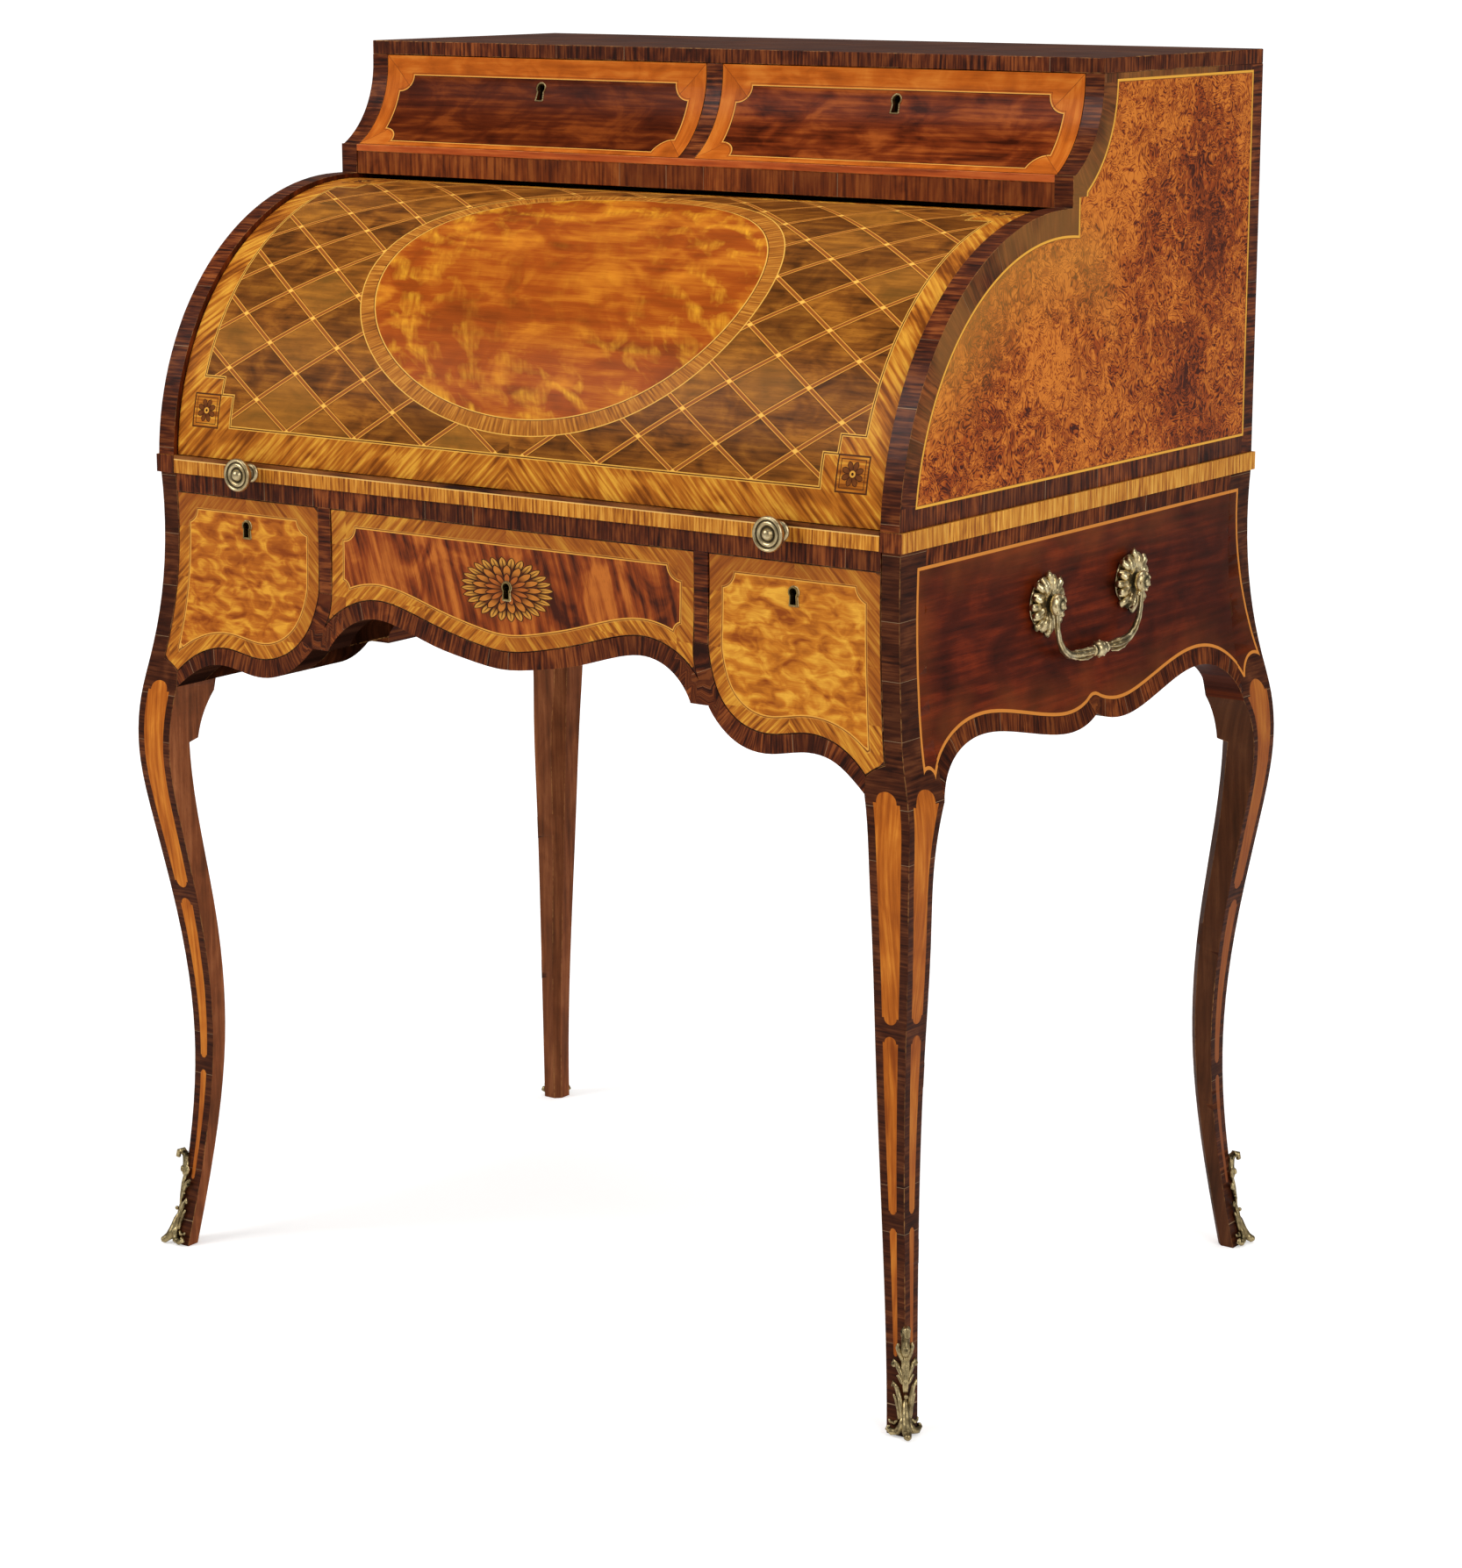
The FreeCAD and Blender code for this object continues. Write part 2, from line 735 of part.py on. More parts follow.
def apron_backing():
    """The thick shaped rail glued behind the apron, stepped down under the side drawers."""
    y = at.front_rear
    step = at.side_drawer_floor - at.backing_step
    low = side_spots(side_low_shares, y)[0]
    half = low_edges(y)
    half += polyline([low, (low[0], y, step), (at.divider_out, y, step),
                      (at.divider_out, y, at.divider_foot), (0, y, at.divider_foot)])
    middle = [curve(both_ways(mid_spots(mid_low_shares, y)))]
    return prism(half + flipped(half) + middle, Y_WAY, "backing_depth")


keep("front_apron", apron())
keep("apron_backing", apron_backing())

# Front rail under the slide, with a mortise above each lock.
rail = padded("XZ_Plane", [("-rail_half", "rail_under"), ("rail_half", "rail_under"),
                           ("rail_half", "waist_under"), ("-rail_half", "waist_under")],
              "rail_depth - band_lap")
rail.setExpression("Placement.Base.y", formula("(case_front + rail_back) / 2"))


def mortise(spot, rear, under):
    """The pocket above a lock that its bolt rises into."""
    half = "(bolt_half + 2 * bolt_fit)"
    deep = "(bolt_thick / 2 + 2 * bolt_fit)"
    middle = f"{rear} + lock_thick / 2"
    return block((f"{spot} - {half}", f"{spot} + {half}"), (f"{middle} - {deep}", f"{middle} + {deep}"),
                 (f"{under} - overrun", f"{under} + bolt_throw + bolt_fit"))


lower_keys = ("-side_key_x", "0", "side_key_x")
keep("front_rail", cut(rail, [mortise(spot, "front_rear", "rail_under") for spot in lower_keys]))

# Dividers between the drawers, carried back to the rear panel as partitions.
divider = padded("YZ_Plane", [("case_front", "divider_foot"), ("backing_rear", "divider_foot"),
                              ("backing_rear", "guide_foot"), ("back_in", "guide_foot"),
                              ("back_in", "rail_under"), ("case_front", "rail_under")], "divider_thick")
divider.setExpression("Placement.Base.x", formula("divider_half + divider_thick / 2"))
keep("drawer_divider_right", divider)
keep("drawer_divider_left", mirrored(divider))

# Guides beside the outer drawers, and the runners that carry all three.
run_y = ("backing_rear", "back_in")
side_run = ("side_drawer_floor - run_fit - runner_height", "side_drawer_floor - run_fit")
mid_run = ("mid_drawer_floor - run_fit - runner_height", "mid_drawer_floor - run_fit")
runners = [
    block(("guide_in", "bed_half"), run_y, ("guide_foot", "rail_under")),
    block(("guide_in - runner_width", "guide_in"), run_y, side_run),
    block(("divider_out", "divider_out + inner_guide"), run_y, ("guide_foot", "rail_under")),
    block(("divider_out + inner_guide", "divider_out + inner_guide + runner_width"), run_y, side_run),
    block(("divider_half - runner_width", "divider_half"), run_y, mid_run),
]
keep("drawer_runners", group(runners + [mirrored(piece) for piece in runners]))

# The bed that the slide runs on.
keep("slide_bed", block(wide("bed_half"), ("rail_back", "back_in"), ("rail_under", "waist_under - run_fit")))

# Waist frame: a band along each side with the pivot's bore in it, and a band across the back.
band = cut(block(("wall_in", "waist_half"), ("front", "back"), ("waist_under", "waist_top")),
           [rod(("wall_in - overrun", "pivot_y", "pivot_z"), X_WAY, "pivot_radius + pivot_fit",
                "overrun + pivot_length + pivot_fit")])
back_band = block(wide("wall_in"), ("back_in", "back"), ("waist_under", "waist_top"))
keep("waist_frame", group([band, mirrored(band), back_band]))

# Guides that keep the slide straight, in front of the pivot and behind it.
guides = []
for start, end in (("lip_rear + run_fit", "pivot_y - guide_front_gap"),
                   ("pivot_y + guide_rear_gap", "slide_rear")):
    guides.append(block(("slide_half + run_fit", "wall_in"), (start, end), ("waist_under", "waist_top")))
keep("slide_guides", group(guides + [mirrored(piece) for piece in guides]))


# Upper sides: a quarter round, the ledge's step and a hollow up to the top.
cavetto_z = at.ledge_top + at.cavetto_rise
cavetto_y = at.top_face - at.cavetto_radius
cavetto_start = cavetto_y + math.sqrt(at.cavetto_radius ** 2 - at.cavetto_rise ** 2)


def cavetto(x, low):
    """The hollow curve from a level just above the ledge to where it turns upright."""
    drop = cavetto_z - low
    begin = (x, cavetto_y + math.sqrt(at.cavetto_radius ** 2 - drop ** 2), low)
    turn = math.asin(drop / at.cavetto_radius) / 2
    via = (x, cavetto_y + at.cavetto_radius * math.cos(turn), cavetto_z - at.cavetto_radius * math.sin(turn))
    return arc(begin, via, (x, at.top_face, cavetto_z))


def upper_side():
    x = at.wall_in
    foot = (x, at.pivot_y - math.sqrt(at.arc_radius ** 2 - at.pivot_drop ** 2), at.waist_top)
    crown = (x, at.pivot_y, at.pivot_z + at.arc_radius)
    slant = at.arc_radius / math.sqrt(2)
    edges = [arc(foot, (x, at.pivot_y - slant, at.pivot_z + slant), crown)]
    edges += polyline([crown, (x, at.ledge_face, crown[2]), (x, at.ledge_face, at.ledge_top),
                       (x, cavetto_start, at.ledge_top)])
    edges.append(cavetto(x, at.ledge_top))
    edges += polyline([(x, at.top_face, cavetto_z), (x, at.top_face, at.top_under),
                       (x, at.case_back, at.top_under), (x, at.case_back, at.waist_top), foot])
    return prism(edges, X_WAY, "side_wall")


upper_right = upper_side()
keep("upper_side_right", upper_right)
keep("upper_side_left", mirrored(upper_right))
keep("upper_back", block(wide("wall_in"), ("back_in", "back_out"), ("waist_top", "top_under")))

# Top board, with mortises for the two upper locks.
top = padded("XY_Plane", [("-case_half", "top_face"), ("case_half", "top_face"), ("case_half", "case_back"),
                          ("-case_half", "case_back")], "top_thick")
top.setExpression("Placement.Base.z", formula("(height + top_under) / 2"))
upper_keys = ("-upper_key_x", "upper_key_x")
keep("top_board", cut(top, [mortise(spot, "upper_rear", "top_under") for spot in upper_keys]))

# Ledge: the board under the upper drawers, with a thin lip along its front.
keep("ledge_board", padded(
    "YZ_Plane", [("ledge_face + ledge_set", "ledge_under"), ("back_in", "ledge_under"),
                 ("back_in", "ledge_top"), ("ledge_face", "ledge_top"),
                 ("ledge_face", "ledge_top - ledge_lip"),
                 ("ledge_face + ledge_set", "ledge_top - ledge_lip")], "2 * wall_in"))


def hollow_front(low, high, rear, x, length):
    """A board with the hollow face of the upper drawers, between two levels."""
    edges = [cavetto(x, low)]
    begin = (x, cavetto_y + math.sqrt(at.cavetto_radius ** 2 - (cavetto_z - low) ** 2), low)
    edges += polyline([(x, at.top_face, cavetto_z), (x, at.top_face, high), (x, rear, high), (x, rear, low),
                       begin])
    return prism(edges, X_WAY, length)


keep("upper_divider", hollow_front(at.ledge_top, at.top_under, at.back_in, -at.upper_divider / 2,
                                   "upper_divider"))


# Locks. Each has a keyhole liner through the drawer front, a case behind it and a bolt that rises.
def keyhole(x, y, z, spread, length):
    """A keyhole seen from the front: a round eye with a tail that widens downwards."""
    radius = at.key_radius + spread
    low = z - at.key_tail - spread
    foot = at.key_foot + spread
    waist = radius / math.sqrt(2)
    left = (x - waist, y, z - waist)
    right = (x + waist, y, z - waist)
    edges = [arc(left, (x, y, z + radius), right)]
    edges += polyline([right, (x + foot, y, low), (x - foot, y, low), left])
    return prism(edges, Y_WAY, length)


def locked(label, front_solid, spot, key_z, head_z, face, rear):
    """Cut the keyhole in a drawer front, and make the lock and its bolt behind it."""
    x = worth(spot)
    z = worth(key_z)
    start = worth(face) - at.liner_proud
    reach = f"{rear} - {face} + liner_proud"
    through = f"{reach} + 2 * overrun"
    fitted = cut(front_solid, [keyhole(x, start - at.overrun, z, at.liner_wall, through)])
    liner = cut(keyhole(x, start, z, at.liner_wall, reach), [keyhole(x, start - at.overrun, z, 0, through)])
    middle = f"{rear} + lock_thick / 2"
    case = block((f"{spot} - lock_half", f"{spot} + lock_half"), (rear, f"{rear} + lock_thick"),
                 (f"{key_z} - lock_below", f"{head_z} - lock_head"))
    channel = block((f"{spot} - bolt_half - bolt_fit", f"{spot} + bolt_half + bolt_fit"),
                    (f"{middle} - bolt_thick / 2 - bolt_fit", f"{middle} + bolt_thick / 2 + bolt_fit"),
                    (f"{key_z} - bolt_fit", f"{head_z} + overrun"))
    key_way = keyhole(x, start, z, 0, f"{reach} + lock_thick / 2")
    bolt = block((f"{spot} - bolt_half", f"{spot} + bolt_half"),
                 (f"{middle} - bolt_thick / 2", f"{middle} + bolt_thick / 2"),
                 (key_z, f"{head_z} - front_fit"))
    return {label + "_front": fitted, label + "_lock": group([liner, cut(case, [channel, key_way])]),
            label + "_bolt": bolt}


def drawer_box(x, y, z):
    """Two sides, a back and a bottom let in between them, as separate boards."""
    (left, right), (start, end), (low, high) = x, y, z
    inner = (f"{left} + drawer_side", f"{right} - drawer_side")
    floor = (f"{low} + drawer_groove", f"{low} + drawer_groove + drawer_bottom")
    return group([
        block((left, inner[0]), y, z),
        block((inner[1], right), y, z),
        block(inner, (f"{end} - drawer_side", end), (floor[1], high)),
        block(inner, (start, end), floor),
    ])


fine_count = 16


def drawn_in(edges):
    """An outline drawn in by the fit all round. Join 2 carries its corners out to a point."""
    inset = Part.Wire(Part.__sortEdges__(edges)).makeOffset2D(-at.front_fit, join=2)
    return [curve(edge.discretize(fine_count)) if "Offset" in edge.Curve.TypeId else edge
            for edge in inset.Edges]


def side_front():
    """The outer drawer's front: straight by the divider, lobed below, swept out with the post."""
    y = far_front
    bottom = side_spots(side_front_shares, y)
    post = post_edge_points(y)
    corner = (at.divider_out, y, at.waist_under)
    edges = [curve(bottom), line(bottom[-1], corner), line(corner, post[-1]), curve(post), shoulder_arc(y)]
    return drawn_in(edges)


def middle_front():
    """The kneehole drawer's front: a double-curved lower edge with pointed ears."""
    y = far_front
    ear = mid_spots(mid_ear_shares, y)
    corner = (at.divider_half, y, at.waist_under)
    half = [curve(ear), line(ear[0], corner)]
    edges = half + flipped(half)
    edges += [curve(both_ways(mid_spots(mid_front_shares, y))), line(corner, (-corner[0], y, corner[2]))]
    return drawn_in(edges)


def lower_drawer(label, edges, spot, key, box_x, floor):
    """A drawer whose swelling front stops just under the rail."""
    sawn = prism(edges, Y_WAY, "overrun + front_thick + overrun")
    under_rail = block(wide("waist_half"), ("front - overrun", "front_rear"),
                       ("apron_low", "rail_under - front_fit"))
    solid = common([swelling_front, sawn, under_rail])
    made = locked(label, solid, spot, f"rail_under - {key}", "rail_under", "case_front", "front_rear")
    made[label + "_box"] = drawer_box(box_x, ("front_rear", "back_in - drawer_stop"),
                                      (floor, "rail_under - drawer_head"))
    return made


def keep_both(made):
    """Keep a right-hand set of nodes and its mirror image."""
    for label, piece in made.items():
        keep(label, piece)
        keep(label.replace("right", "left"), mirrored(piece))


keep_both(lower_drawer("side_drawer_right", side_front(), "side_key_x", "side_key_drop",
                       ("divider_out + inner_guide + drawer_sway", "guide_in - drawer_sway"),
                       "side_drawer_floor"))
for label, piece in lower_drawer("middle_drawer", middle_front(), "0", "mid_key_drop",
                                 wide("divider_half - drawer_sway"), "mid_drawer_floor").items():
    keep(label, piece)


def upper_drawer(label):
    low = at.ledge_top + at.run_fit
    high = at.top_under - at.front_fit
    inner = at.upper_divider / 2 + at.front_fit
    solid = hollow_front(low, high, at.upper_rear, inner, "wall_in - upper_divider / 2 - 2 * front_fit")
    made = locked(label, solid, "upper_key_x", "upper_key_z", "top_under", "top_face", "upper_rear")
    made[label + "_box"] = drawer_box(
        ("upper_divider / 2 + drawer_sway", "wall_in - drawer_sway"),
        ("upper_rear", "back_in - upper_drawer_stop"), ("ledge_top + run_fit", "top_under - drawer_head"))
    return made


keep_both(upper_drawer("upper_drawer_right"))


# The cylinder: a quarter-round shell that turns on pivots at the waist and rolls back under the ledge.
shell_end_deg = 96.0


def polar(x, radius, degrees):
    """A point round the pivot: zero degrees is to the front, ninety straight up."""
    turn = math.radians(degrees)
    return (x, at.pivot_y - radius * math.cos(turn), at.pivot_z + radius * math.sin(turn))


def cylinder_shell():
    x = -at.shell_half
    inner = at.shell_radius - at.shell_thick
    lift = at.shell_low - at.pivot_z
    outer_deg = math.degrees(math.asin(lift / at.shell_radius))
    inner_deg = math.degrees(math.asin(lift / inner))
    outer_foot = polar(x, at.shell_radius, outer_deg)
    inner_foot = polar(x, inner, inner_deg)
    outer_end = polar(x, at.shell_radius, shell_end_deg)
    inner_end = polar(x, inner, shell_end_deg)
    edges = [arc(outer_foot, polar(x, at.shell_radius, (outer_deg + shell_end_deg) / 2), outer_end),
             line(outer_end, inner_end),
             arc(inner_end, polar(x, inner, (inner_deg + shell_end_deg) / 2), inner_foot),
             line(inner_foot, outer_foot)]
    return prism(edges, X_WAY, "2 * shell_half")


keep("cylinder_shell", cylinder_shell())

# Trammels: an iron quadrant screwed inside each end of the shell. Its hub turns on the waist, and its
# lower arm has a pin that stands in the slide's slotted bracket, so that shell and slide go together.
spoke_degs = (18.0, 60.0)
lever_deg = 270.0 - lever_lean_deg


def strip(first, last, half_first, half_last):
    """A tapered bar between two points, in the plane of the trammel."""
    way = Vector(*last) - Vector(*first)
    side = X_WAY.cross(way).normalize()
    corners = [Vector(*first) + side * half_first, Vector(*last) + side * half_last,
               Vector(*last) - side * half_last, Vector(*first) - side * half_first]
    return prism(polyline([tuple(corner) for corner in corners + corners[:1]]), X_WAY, "trammel_thick")


def trammel():
    x = at.trammel_in
    seat = at.shell_radius - at.shell_thick - at.trammel_seat
    inner = seat - at.trammel_rim
    low_deg, high_deg = spoke_degs
    half_spoke = math.degrees(at.spoke_width / 2 / inner)
    first = low_deg - half_spoke
    last = high_deg + half_spoke
    middle = (first + last) / 2
    rim = prism([arc(polar(x, seat, first), polar(x, seat, middle), polar(x, seat, last)),
                 line(polar(x, seat, last), polar(x, inner, last)),
                 arc(polar(x, inner, last), polar(x, inner, middle), polar(x, inner, first)),
                 line(polar(x, inner, first), polar(x, seat, first))], X_WAY, "trammel_thick")
    hub = rod(("trammel_in", "pivot_y", "pivot_z"), X_WAY, "hub_radius", "trammel_thick")
    pivot = rod(("trammel_in", "pivot_y", "pivot_z"), X_WAY, "pivot_radius",
                "wall_in - trammel_in + pivot_length")
    pivot_end = polar(x, 0, 0)
    half = at.spoke_width / 2
    rim_middle = inner + at.trammel_rim / 2
    spokes = [strip(pivot_end, polar(x, rim_middle, degrees), half, half) for degrees in spoke_degs]
    lever = strip(pivot_end, polar(x, at.lever_length, lever_deg), at.hub_radius, at.lever_end)
    end = rod(("trammel_in", "lever_y", "lever_z"), X_WAY, "lever_end", "trammel_thick")
    pin = rod(("bracket_in", "lever_y", "lever_z"), X_WAY, "lever_pin", "trammel_out - bracket_in")
    return fuse([rim, hub, pivot, lever, end, pin] + spokes)


trammel_right = trammel()
keep("trammel_right", trammel_right)
keep("trammel_left", mirrored(trammel_right))

# The writing slide: a board with a leather let into it, a lipping that shows as the waist's front
# band, two turned knobs, and a slotted bracket under each end for the trammel's pin.
leather_y = ("front + leather_front", "front + leather_front + leather_depth")
leather = block(wide("leather_half"), leather_y, ("slide_top - leather_thick", "slide_top"))
slide_blank = block(wide("slide_half"), ("lip_rear", "slide_rear"), ("waist_under", "slide_top"))
keep("slide_board", cut(slide_blank, [leather]))
keep("slide_leather", leather)
bracket = cut(block(("bracket_in", "bracket_out"),
                    ("lever_y - slot_width / 2 - bracket_wall", "lever_y + slot_width / 2 + bracket_wall"),
                    ("slot_low - bracket_wall", "waist_under")),
              [block(("bracket_in - overrun", "bracket_out + overrun"),
                     ("lever_y - slot_width / 2", "lever_y + slot_width / 2"), ("slot_low", "slot_high"))])
keep("slide_brackets", pair(bracket))

# Slide knobs, turned with a foot, a neck and a dished face.
knob = turned([("0", "0"), ("0", "knob_tenon"), ("knob_tenon_length", "knob_tenon"),
               ("knob_tenon_length", "knob_foot"), ("knob_tenon_length + knob_foot_thick", "knob_foot"),
               ("knob_tenon_length + knob_foot_thick * 2", "knob_neck"),
               ("knob_tenon_length + knob_reach - knob_rim * 2", "knob_neck"),
               ("knob_tenon_length + knob_reach - knob_rim", "knob_radius"),
               ("knob_tenon_length + knob_reach - knob_dish", "knob_radius"),
               ("knob_tenon_length + knob_reach", "knob_radius - knob_dish"),
               ("knob_tenon_length + knob_reach - knob_dish", "knob_eye + knob_dish"),
               ("knob_tenon_length + knob_reach", "knob_eye"), ("knob_tenon_length + knob_reach", "0")])
knob.Placement = FreeCAD.Placement(Vector(), FreeCAD.Rotation(Z_WAY, 180))
knob.setExpression("Placement.Base.x", formula("knob_x"))
knob.setExpression("Placement.Base.y", formula("front + knob_tenon_length"))
knob.setExpression("Placement.Base.z", formula("waist_top - band_height / 2"))
keep("slide_knobs", pair(knob))
lipping = block(wide("wall_in - front_fit"), ("front", "lip_rear"), ("waist_under + run_fit", "waist_top"))
tenon_hole = rod(("knob_x", "front - overrun", "waist_top - band_height / 2"), Y_WAY, "knob_tenon",
                 "overrun + knob_tenon_length")
keep("slide_front", cut(lipping, [pair(tenon_hole)]))

# Platform behind the slide, and the nest of pigeonholes that stands on it.
floor_y = ("nest_face - nest_lap", "nest_face - nest_lap + nest_floor_depth")
keep("nest_floor", block(wide("wall_in"), floor_y, ("waist_top", "nest_base")))
nest_y = ("nest_face", "nest_rear - nest_board")
nest_in = "nest_half - nest_board"
nest_boards = [
    block(wide("nest_half"), ("nest_face", "nest_rear"), ("nest_top - nest_board", "nest_top")),
    block(wide(nest_in), ("nest_rear - nest_board", "nest_rear"), ("nest_base", "nest_top - nest_board")),
    block(wide(nest_in), nest_y, ("shelf_low", "shelf_low + nest_board")),
]
nest_end = block((nest_in, "nest_half"), ("nest_face", "nest_rear"), ("nest_base", "nest_top - nest_board"))
bay_wall = block(("nest_bay - nest_board", "nest_bay"), nest_y, ("nest_base", "shelf_low"))
nest_boards += [nest_end, mirrored(nest_end), bay_wall, mirrored(bay_wall)]
pigeonhole_count = 6
for hole in range(1, pigeonhole_count):
    spot = f"-({nest_in}) + 2 * ({nest_in}) * {hole} / {pigeonhole_count}"
    nest_boards.append(block((f"{spot} - nest_board / 2", f"{spot} + nest_board / 2"), nest_y,
                             ("shelf_low + nest_board", "nest_top - nest_board")))
keep("pigeonhole_nest", group(nest_boards))


def nest_drawer():
    """A small drawer with a turned knob, in the nest's lower row."""
    left = "nest_bay + front_fit"
    right = f"{nest_in} - front_fit"
    low = "nest_base + run_fit"
    high = "shelf_low - front_fit"
    rear = "nest_face + nest_drawer_front"
    end = "nest_rear - nest_board - front_fit"
    inner = (f"{left} + nest_drawer_wall", f"{right} - nest_drawer_wall")
    boards = [
        block((left, right), ("nest_face", rear), (low, high)),
        block((left, inner[0]), (rear, end), (low, high)),
        block((inner[1], right), (rear, end), (low, high)),
        block(inner, (f"{end} - nest_drawer_wall", end), (f"{low} + nest_drawer_wall", high)),
        block(inner, (rear, end), (low, f"{low} + nest_drawer_wall")),
    ]
    button = turned([("0", "0"), ("0", "nest_knob / 2"), ("nest_knob_reach / 2", "nest_knob / 2"),
                     ("nest_knob_reach * 2 / 3", "nest_knob"), ("nest_knob_reach", "nest_knob * 2 / 3"),
                     ("nest_knob_reach", "0")])
    button.Placement = FreeCAD.Placement(Vector(), FreeCAD.Rotation(Z_WAY, 180))
    button.setExpression("Placement.Base.x", formula(f"(nest_bay + {nest_in}) / 2"))
    button.setExpression("Placement.Base.y", formula("nest_face"))
    button.setExpression("Placement.Base.z", formula("nest_base + nest_shelf / 2"))
    return group(boards + [button])


keep_both({"nest_drawer_right": nest_drawer()})

# Side handles: two lobed rosettes with a boss each, and a bail that hangs between the bosses.
lobe_count = 8
rosette_x = at.case_half - at.rosette_bed


def rosette(y):
    """A lobed plate with a dome and a boss, seated on the swelling side."""
    z = at.handle_height

    def rim(radius, step):
        turn = math.pi * step / lobe_count
        return (rosette_x, y + radius * math.sin(turn), z + radius * math.cos(turn))

    edges = []
    for step in range(0, 2 * lobe_count, 2):
        crest = rim(at.rosette_radius, step)
        edges.append(arc(rim(at.rosette_valley, step - 1), crest, rim(at.rosette_valley, step + 1)))
    plate = prism(edges, X_WAY, "rosette_bed + rosette_thick")
    dome = doc.addObject("Part::Cone", "dome")
    dome.setExpression("Radius1", formula("dome_radius"))
    dome.setExpression("Radius2", formula("dome_top"))
    dome.setExpression("Height", formula("dome_height"))
    dome_foot = Vector(at.case_half + at.rosette_thick, y, z)
    dome.Placement = FreeCAD.Placement(dome_foot, FreeCAD.Rotation(Z_WAY, X_WAY))
    side = 1 if y > at.middle else -1
    spot = f"middle + {side} * handle_half"
    boss = rod(("case_half - rosette_bed", spot, "handle_height"), X_WAY, "boss_radius",
               "rosette_bed + boss_reach")
    eye = rod(("case_half + eye_reach", f"{spot} - {side} * (boss_radius + overrun)", "handle_height"),
              Y_WAY * side, "bail_radius + eye_fit", "boss_radius + overrun + bail_tail + eye_fit")
    return cut(fuse([plate, dome, boss]), [swelling_side, eye])


rosettes = group([rosette(at.middle - at.handle_half), rosette(at.middle + at.handle_half)])
keep_both({"handle_rosettes_right": rosettes})


bar_sides = 8


def bail():
    """An eight-sided bar bent between two round pins, with a turned knop at the middle of its grip."""
    x = at.case_half + at.eye_reach
    z = at.handle_height
    neck = at.handle_half - at.bail_neck
    side_y = neck - at.bail_bend
    low = at.handle_low
    slant = 1 - 1 / math.sqrt(2)

    def arm(sign):
        """From the pin down to the grip: the start, its edges and their end."""
        def spot(out, rise):
            return (x, at.middle + sign * out, rise)

        bend_out = spot(side_y, z - at.bail_bend)
        turn_in = spot(side_y, low + at.bail_corner)
        turn_out = spot(side_y - at.bail_corner, low)
        bend_mid = spot(side_y + at.bail_bend * slant, z - at.bail_bend * slant)
        turn_mid = spot(side_y - at.bail_corner * slant, low + at.bail_corner * slant)
        edges = [arc(spot(neck, z), bend_mid, bend_out), line(bend_out, turn_in),
                 arc(turn_in, turn_mid, turn_out)]
        return spot(neck, z), edges, turn_out

    start, first, first_low = arm(-1)
    _, last, last_low = arm(1)
    path = doc.addObject("Part::Feature", "path")
    path.Shape = Part.Wire(Part.__sortEdges__(first + [line(first_low, last_low)] + last))
    section = doc.addObject("Part::Feature", "section")
    turns = [math.tau * (side + 1 / 2) / bar_sides for side in range(bar_sides)]
    corners = [(x + at.bail_radius * math.cos(turn), start[1], z + at.bail_radius * math.sin(turn))
               for turn in turns]
    section.Shape = Part.Wire(polyline(corners + corners[:1]))
    bar = doc.addObject("Part::Sweep", "bar")
    bar.Sections = [section]
    bar.Spine = (path, [f"Edge{count}" for count in range(1, len(path.Shape.Edges) + 1)])
    bar.Solid = True
    pins = [rod(("case_half + eye_reach", f"middle + {sign} * (handle_half - bail_neck)", "handle_height"),
                Y_WAY * sign, "bail_radius", "bail_neck + bail_tail") for sign in (-1, 1)]
    knop = turned([("-knop_half", "0"), ("-knop_half", "bail_radius"), ("-knop_half / 3", "knop_radius"),
                   ("knop_half / 3", "knop_radius"), ("knop_half", "bail_radius"), ("knop_half", "0")])
    knop.setExpression("Placement.Base.x", formula("case_half + eye_reach"))
    knop.setExpression("Placement.Base.y", formula("middle"))
    knop.setExpression("Placement.Base.z", formula("handle_low"))
    return fuse([bar, knop] + pins)


keep_both({"handle_bail_right": bail()})

doc.recompute()
for item in doc.Objects:
    if "Invalid" in item.State or "Error" in item.State:
        raise RuntimeError(f"{item.Name} ({item.Label}) is {item.State}")
for label, piece in nodes.items():
    shape = piece.Shape
    if shape.isNull() or not shape.isValid() or not shape.Solids:
        raise RuntimeError(f"{label} has no valid solid")
os.makedirs("parts", exist_ok=True)
for label, piece in nodes.items():
    piece.Shape.exportStep(f"parts/{label}.step")
box = Part.makeCompound([piece.Shape for piece in nodes.values()]).BoundBox
print(len(nodes), "nodes, box", box)
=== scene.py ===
import json
import math
from functools import partialmethod, reduce

import bmesh
import bpy
from mathutils import Matrix, Vector
from mathutils.kdtree import KDTree

